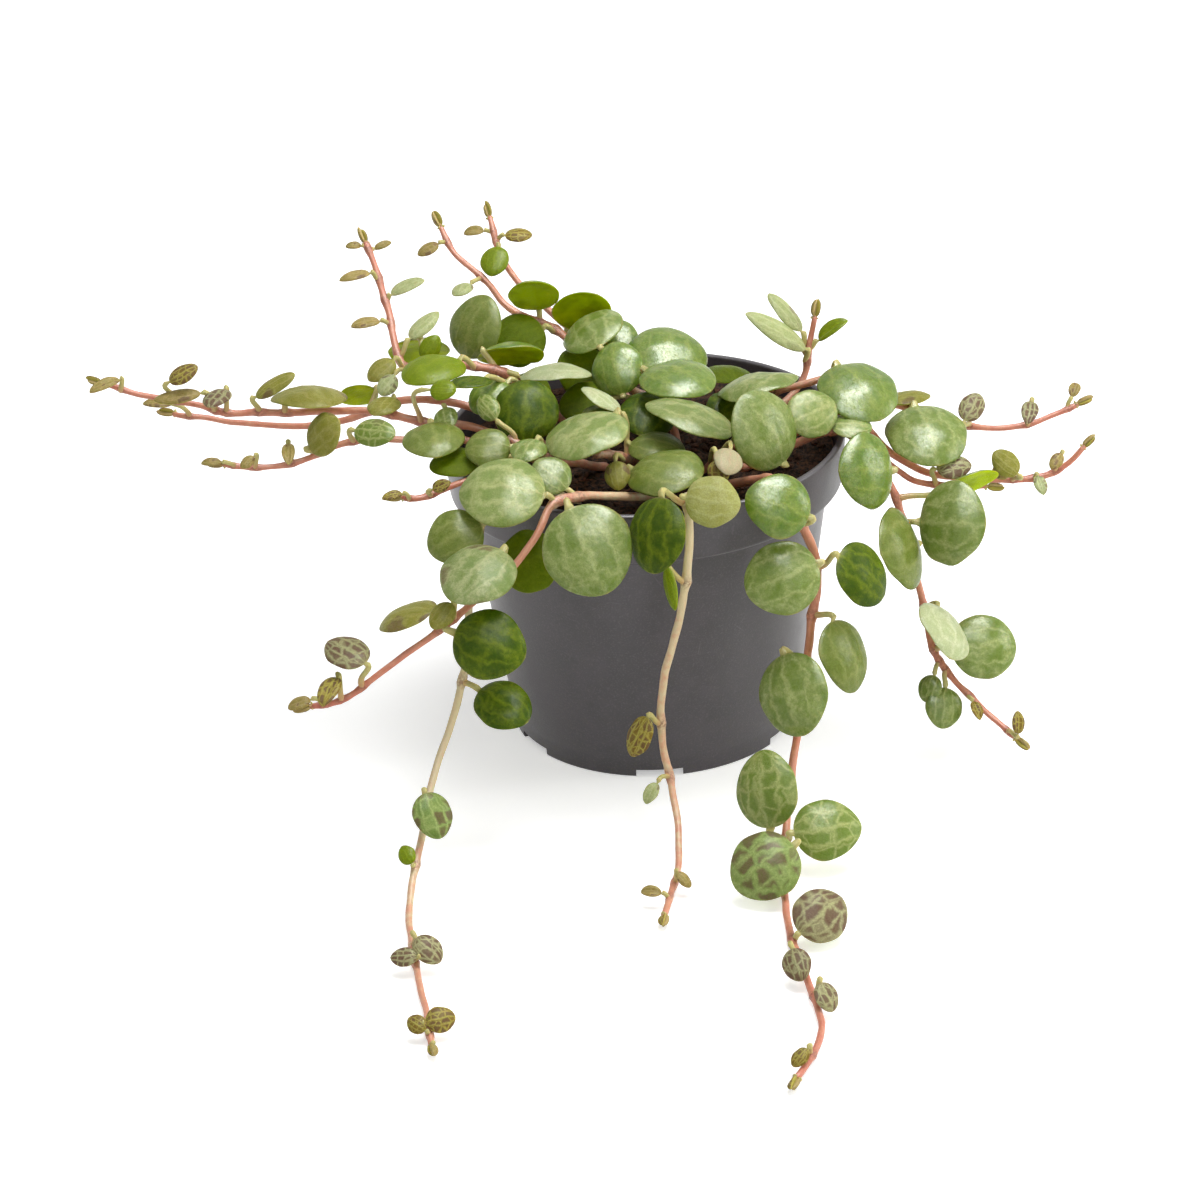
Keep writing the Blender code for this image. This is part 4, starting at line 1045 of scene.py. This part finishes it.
def tip_rows(name):
    """Two small leaves that close over the tip of a stem."""
    draw = random.Random(f"stem_{name}")
    last = len(ROUTES[name]) - 1
    tip, heading = along(ROUTES[name], last)
    side = heading.cross(Vector((draw.uniform(-0.4, 0.4), -1, 0.4))).normalized()
    rows = []
    for sign, look in ((1, "bud"), (-1, "tip")):
        outwards = (side * sign).normalized()
        turn = math.degrees(math.atan2(outwards.x, -outwards.y))
        lift = math.degrees(math.asin(outwards.z))
        length = draw.uniform(*TIP_LEAF)
        middle = tip + heading * length * 0.42 + outwards * 0.35
        rows.append((last - 0.04, middle, (turn, lift), length, length * 0.5, look))
    return rows


leaves = []
for name in STEMS:
    tips = [] if name.startswith("crown") else tip_rows(name)
    for kind, rows in (("leaf", FULL_LEAVES[name]), ("young_leaf", YOUNG_LEAVES[name]), ("tip_leaf", tips)):
        for number, row in enumerate(rows, 1):
            leaves.append(grow_leaf(f"{kind}_{name}_{number}", name, row, kind == "leaf"))
print(len(leaves), "leaves with", sum(len(leaf.data.polygons) for leaf in leaves), "faces")

# %% [markdown]
# ## The peat
#
# The pot is filled with dark peat almost to the lip. Its top is a disc of fine rings pushed up and down
# by noise, with loose crumbs and a few reddish bits of bark strewn on it. The crumbs are joined
# to the disc's mesh as small rough balls, sunk a little into it. The mark "peat" says how red a bit is.

# %% Peat finish
DARK_PEAT = colour(26, 17, 10)
DRY_PEAT = colour(80, 54, 36)
BARK = colour(104, 62, 42)

peat_finish = Finish("peat", Roughness=0.95, Specular_IOR_Level=0.15)
where = peat_finish.place()
_, red_mark, _ = peat_finish.attribute("peat")
peat_colour = peat_finish.blend(DARK_PEAT, DRY_PEAT, peat_finish.speckle(where, 1.6, 4).step(0.35, 0.7))
peat_finish.paint("Base Color", peat_finish.blend(peat_colour, BARK, red_mark))
peat_finish.paint("Normal", peat_finish.bump(peat_finish.speckle(where, 3, 4, 0.7), 0.3))
print("peat finish:", len(peat_finish.tree.nodes), "nodes")

# %% Peat mesh
PEAT_RADIUS = 28.2
PEAT_RINGS = 56
PEAT_SIDES = 120
PEAT_SKIRT = ((3, 27.9), (6.5, 25.6), (12, 24.6))  # depth and radius of the rings below the top


def peat_top(x, y):
    rough = 0.55 * noise.fractal(Vector((x, y, 0)) * 0.45, 0.8, 2.2, 4)
    return soil_height(x, y) + rough


def peat_ring(shape, radius, height):
    """A ring of corners, at a height that may depend on the place."""
    ring = []
    for t in turns(PEAT_SIDES):
        x, y = radius * math.cos(t), radius * math.sin(t)
        ring.append(shape.verts.new((x * MM, y * MM, height(x, y) * MM)))
    return ring


def peat_disc(shape):
    """The rough top, with a skirt that closes it below."""
    centre = shape.verts.new((0, 0, peat_top(0, 0) * MM))
    rows = [peat_ring(shape, PEAT_RADIUS * i / PEAT_RINGS, peat_top) for i in range(1, PEAT_RINGS + 1)]
    rows += [peat_ring(shape, radius, lambda x, y: SOIL_LEVEL - depth) for depth, radius in PEAT_SKIRT]
    for i in range(PEAT_SIDES):
        k = (i + 1) % PEAT_SIDES
        shape.faces.new((centre, rows[0][i], rows[0][k]))
        for near, far in zip(rows, rows[1:]):
            shape.faces.new((near[i], far[i], far[k], near[k]))
    shape.faces.new(rows[-1][::-1])


peat_shape = bmesh.new()
peat_layer = peat_shape.verts.layers.float_vector.new("peat")
peat_disc(peat_shape)
print("bare peat:", len(peat_shape.faces), "faces")

# %% Crumbs and bark
# How many, their least and greatest radius, how much longer than wide, and how red.
CRUMBS = (620, (0.22, 0.75), 1.6, (0, 0.35))
BITS_OF_BARK = (90, (0.12, 0.24), 7, (0.5, 1))


def strew(shape, layer, draw, count, size, stretch, red):
    """Rough balls on the peat, stretched by up to a factor."""
    for _ in range(count):
        radius = PEAT_RADIUS * 0.97 * math.sqrt(draw.random())
        turn = draw.uniform(0, 2 * math.pi)
        x, y = radius * math.cos(turn), radius * math.sin(turn)
        ball = bmesh.ops.create_icosphere(shape, subdivisions=1, radius=1)["verts"]
        big = draw.uniform(*size)
        long = big * draw.uniform(1, stretch)
        tilt = Matrix.Rotation(draw.uniform(-0.5, 0.5), 3, "Y")
        spin = Matrix.Rotation(draw.uniform(0, 2 * math.pi), 3, "Z") @ tilt
        tint = draw.uniform(*red)
        for vert in ball:
            bumpy = 1 + 0.35 * noise.noise(vert.co * 2.3 + Vector((x, y, 0)))
            point = Vector((vert.co.x * long, vert.co.y * big, vert.co.z * big * 0.7)) * bumpy
            vert.co = (spin @ point + Vector((x, y, peat_top(x, y) + big * 0.25))) * MM
            vert[layer] = Vector((1, tint, 0))


draw = random.Random(7)
strew(peat_shape, peat_layer, draw, *CRUMBS)
strew(peat_shape, peat_layer, draw, *BITS_OF_BARK)
bmesh.ops.recalc_face_normals(peat_shape, faces=peat_shape.faces)
peat_mesh = bpy.data.meshes.new("fine_peat")
peat_shape.to_mesh(peat_mesh)
peat_shape.free()
piece("fine_peat", peat_mesh, peat_finish, "soil")
print("peat:", len(peat_mesh.polygons), "faces")

# %% [markdown]
# ## The pot
#
# The pot is thin moulded polypropylene. It is a profile turned once round by a Screw modifier, with
# notches in its foot and holes in its floor cut by Boolean, as in the solid model, but with many
# more sides and rounded edges at the lip, the rim band and the foot. The plastic is black with a
# dusty grey bloom, a fine pebbled grain, hair-thin scratches and faint moulding rings.

# %% Pot finish
BLACK = colour(59, 55, 58)
BLOOM = colour(68, 63, 67)
SCRATCH = colour(104, 100, 105)
DUST = colour(96, 90, 92)

pot_finish = Finish("pot_plastic")
where = pot_finish.place()
wide, deep, high = pot_finish.parts(where)
bloom = pot_finish.speckle(where, 0.12, 4, 0.6).step(0.35, 0.7)
rings_round = pot_finish.speckle(pot_finish.vector(wide * 0.5, deep * 0.5, high * 9), 0.9, 3, 0.6)
scratched = pot_finish.vector(wide * 0.35 + high * 0.06, deep * 0.35, high * 2.2 + wide * 0.25)
scratch = pot_finish.plates("DISTANCE_TO_EDGE", scratched, 0.22).step(0, 0.012, 1, 0)
scratch = scratch * pot_finish.speckle(where, 0.3).step(0.5, 0.65)
plastic = pot_finish.blend(BLACK, BLOOM, bloom)
plastic = pot_finish.blend(plastic, SCRATCH, scratch * 0.25)
plastic = pot_finish.blend(plastic, DUST, pot_finish.speckle(where, 4).step(0.5, 0.72) * 0.3)
pot_finish.paint("Base Color", plastic)
pot_finish.paint("Roughness", 0.36 + bloom * 0.1)
grain = pot_finish.speckle(where, 5) * 0.6 + rings_round * 0.4
pot_finish.paint("Normal", pot_finish.bump(grain, 0.05, 0.6))
print("pot finish:", len(pot_finish.tree.nodes), "nodes")

# %% Pot profile
WALL = 1
BAND_HEIGHT = 7.8
BAND_FOOT_RADIUS = 29.4
STEP = 0.8  # height of the slope under the rim band
BODY_TOP_RADIUS = 27.2
BODY_FOOT_RADIUS = 21.8
SEAM_HEIGHT = 3.2
SEAM_WIDTH = 0.25
SEAM_DEPTH = 0.12
FOOT_HEIGHT = 1.2
FLOOR_THICKNESS = 1.2
FOOT_RING_WIDTH = 2.6
PAD_RADIUS = 5


def rounded(before, corner, after, radius, steps=5):
    """Points of a rounded corner between two straight runs."""
    corner, before, after = Vector(corner), Vector(before), Vector(after)
    start = corner + (before - corner).normalized() * radius
    end = corner + (after - corner).normalized() * radius
    shares = [i / steps for i in range(steps + 1)]
    return [tuple(start * (1 - t) ** 2 + corner * 2 * t * (1 - t) + end * t * t) for t in shares]


def pot_profile():
    """The wall's section, down the outside from the lip and back up the inside, with its rounding."""
    band_foot = POT_HEIGHT - BAND_HEIGHT
    inner_foot = band_foot - WALL
    foot_inner = BODY_FOOT_RADIUS - FOOT_RING_WIDTH
    inner_floor = FOOT_HEIGHT + FLOOR_THICKNESS
    slope = (BODY_TOP_RADIUS - BODY_FOOT_RADIUS) * (SEAM_HEIGHT - FOOT_HEIGHT) / (band_foot - 2)
    seam_radius = BODY_FOOT_RADIUS + slope
    corners = [
        (RIM_RADIUS - WALL, POT_HEIGHT, 0.45), (RIM_RADIUS, POT_HEIGHT, 0.5),
        (BAND_FOOT_RADIUS, band_foot, 0.6), (BODY_TOP_RADIUS, band_foot - STEP, 0.7),
        (seam_radius, SEAM_HEIGHT, 0), (seam_radius - SEAM_DEPTH, SEAM_HEIGHT - SEAM_WIDTH, 0),
        (BODY_FOOT_RADIUS, 0, 0.4), (foot_inner, 0, 0.3), (foot_inner, FOOT_HEIGHT, 0.3),
        (PAD_RADIUS, FOOT_HEIGHT, 0.2), (PAD_RADIUS, 0, 0.2), (0, 0, 0), (0, inner_floor, 0),
        (BODY_FOOT_RADIUS - WALL, inner_floor, 0.5), (BODY_TOP_RADIUS - WALL, inner_foot - STEP, 0.4),
        (BAND_FOOT_RADIUS - WALL, band_foot, 0.4),
    ]
    points = []
    for i, (x, z, radius) in enumerate(corners):
        before, after = corners[i - 1], corners[(i + 1) % len(corners)]
        points += rounded(before[:2], (x, z), after[:2], radius) if radius else [(x, z)]
    return points


profile = pot_profile()
print("the pot's profile has", len(profile), "points")

# %% Notches and holes
FEET = 6
NOTCH = (9, 7, 2 * FOOT_HEIGHT)
DRAIN_HOLES = 6
DRAIN_RADIUS = 1.8
DRAIN_CIRCLE = 14
DRAIN_DEPTH = 4 * FLOOR_THICKNESS


def set_round(shape, verts, place, turn):
    """Moves a cutter out from the pot's axis, and then round it."""
    bmesh.ops.translate(shape, vec=[part * MM for part in place], verts=verts)
    bmesh.ops.rotate(shape, cent=(0, 0, 0), matrix=Matrix.Rotation(turn, 3, "Z"), verts=verts)


cutter_shape = bmesh.new()
for i in range(FEET):
    box = bmesh.ops.create_cube(cutter_shape, size=1)["verts"]
    bmesh.ops.scale(cutter_shape, vec=[side * MM for side in NOTCH], verts=box)
    set_round(cutter_shape, box, (BODY_FOOT_RADIUS, 0, 0), 2 * math.pi * (i + 0.5) / FEET)
for i in range(DRAIN_HOLES):
    hole = bmesh.ops.create_cone(cutter_shape, cap_ends=True, segments=32, radius1=DRAIN_RADIUS * MM,
                                 radius2=DRAIN_RADIUS * MM, depth=DRAIN_DEPTH * MM)["verts"]
    place = (DRAIN_CIRCLE, 0, FOOT_HEIGHT + FLOOR_THICKNESS)
    set_round(cutter_shape, hole, place, 2 * math.pi * i / DRAIN_HOLES)
bmesh.ops.recalc_face_normals(cutter_shape, faces=cutter_shape.faces)
cutter_mesh = bpy.data.meshes.new("pot_cutters")
cutter_shape.to_mesh(cutter_mesh)
cutter_shape.free()
cutter = added("pot_cutters", cutter_mesh)
print(FEET, "notches and", DRAIN_HOLES, "drain holes to cut")

# %% Turn and cut the pot
POT_STEPS = 144
SHARP = math.radians(38)

corners = [(x * MM, 0, z * MM) for x, z in profile]
edges = [(i, (i + 1) % len(corners)) for i in range(len(corners))]
edges = [pair for pair in edges if any(corners[i][0] > 0 for i in pair)]
profile_mesh = bpy.data.meshes.new("pot_profile")
profile_mesh.from_pydata(corners, edges, [])
turned = added("turned_profile", profile_mesh)
screw = turned.modifiers.new("turn", "SCREW")
screw.steps = POT_STEPS
screw.render_steps = POT_STEPS
screw.use_merge_vertices = True
screw.merge_threshold = 0.00001
cut = turned.modifiers.new("notches_and_holes", "BOOLEAN")
cut.operation = "DIFFERENCE"
cut.solver = "EXACT"
cut.object = cutter

bpy.context.view_layer.update()
graph = bpy.context.evaluated_depsgraph_get()
pot_mesh = bpy.data.meshes.new_from_object(turned.evaluated_get(graph))
pot_mesh.name = "fine_pot"
for helper in (turned, cutter):
    bpy.data.objects.remove(helper)
turned_out(pot_mesh)
pot_mesh.shade_smooth()
pot_mesh.set_sharp_from_angle(angle=SHARP)
pot_mesh.materials.clear()
piece("fine_pot", pot_mesh, pot_finish, "pot")
print("pot:", len(pot_mesh.polygons), "faces")
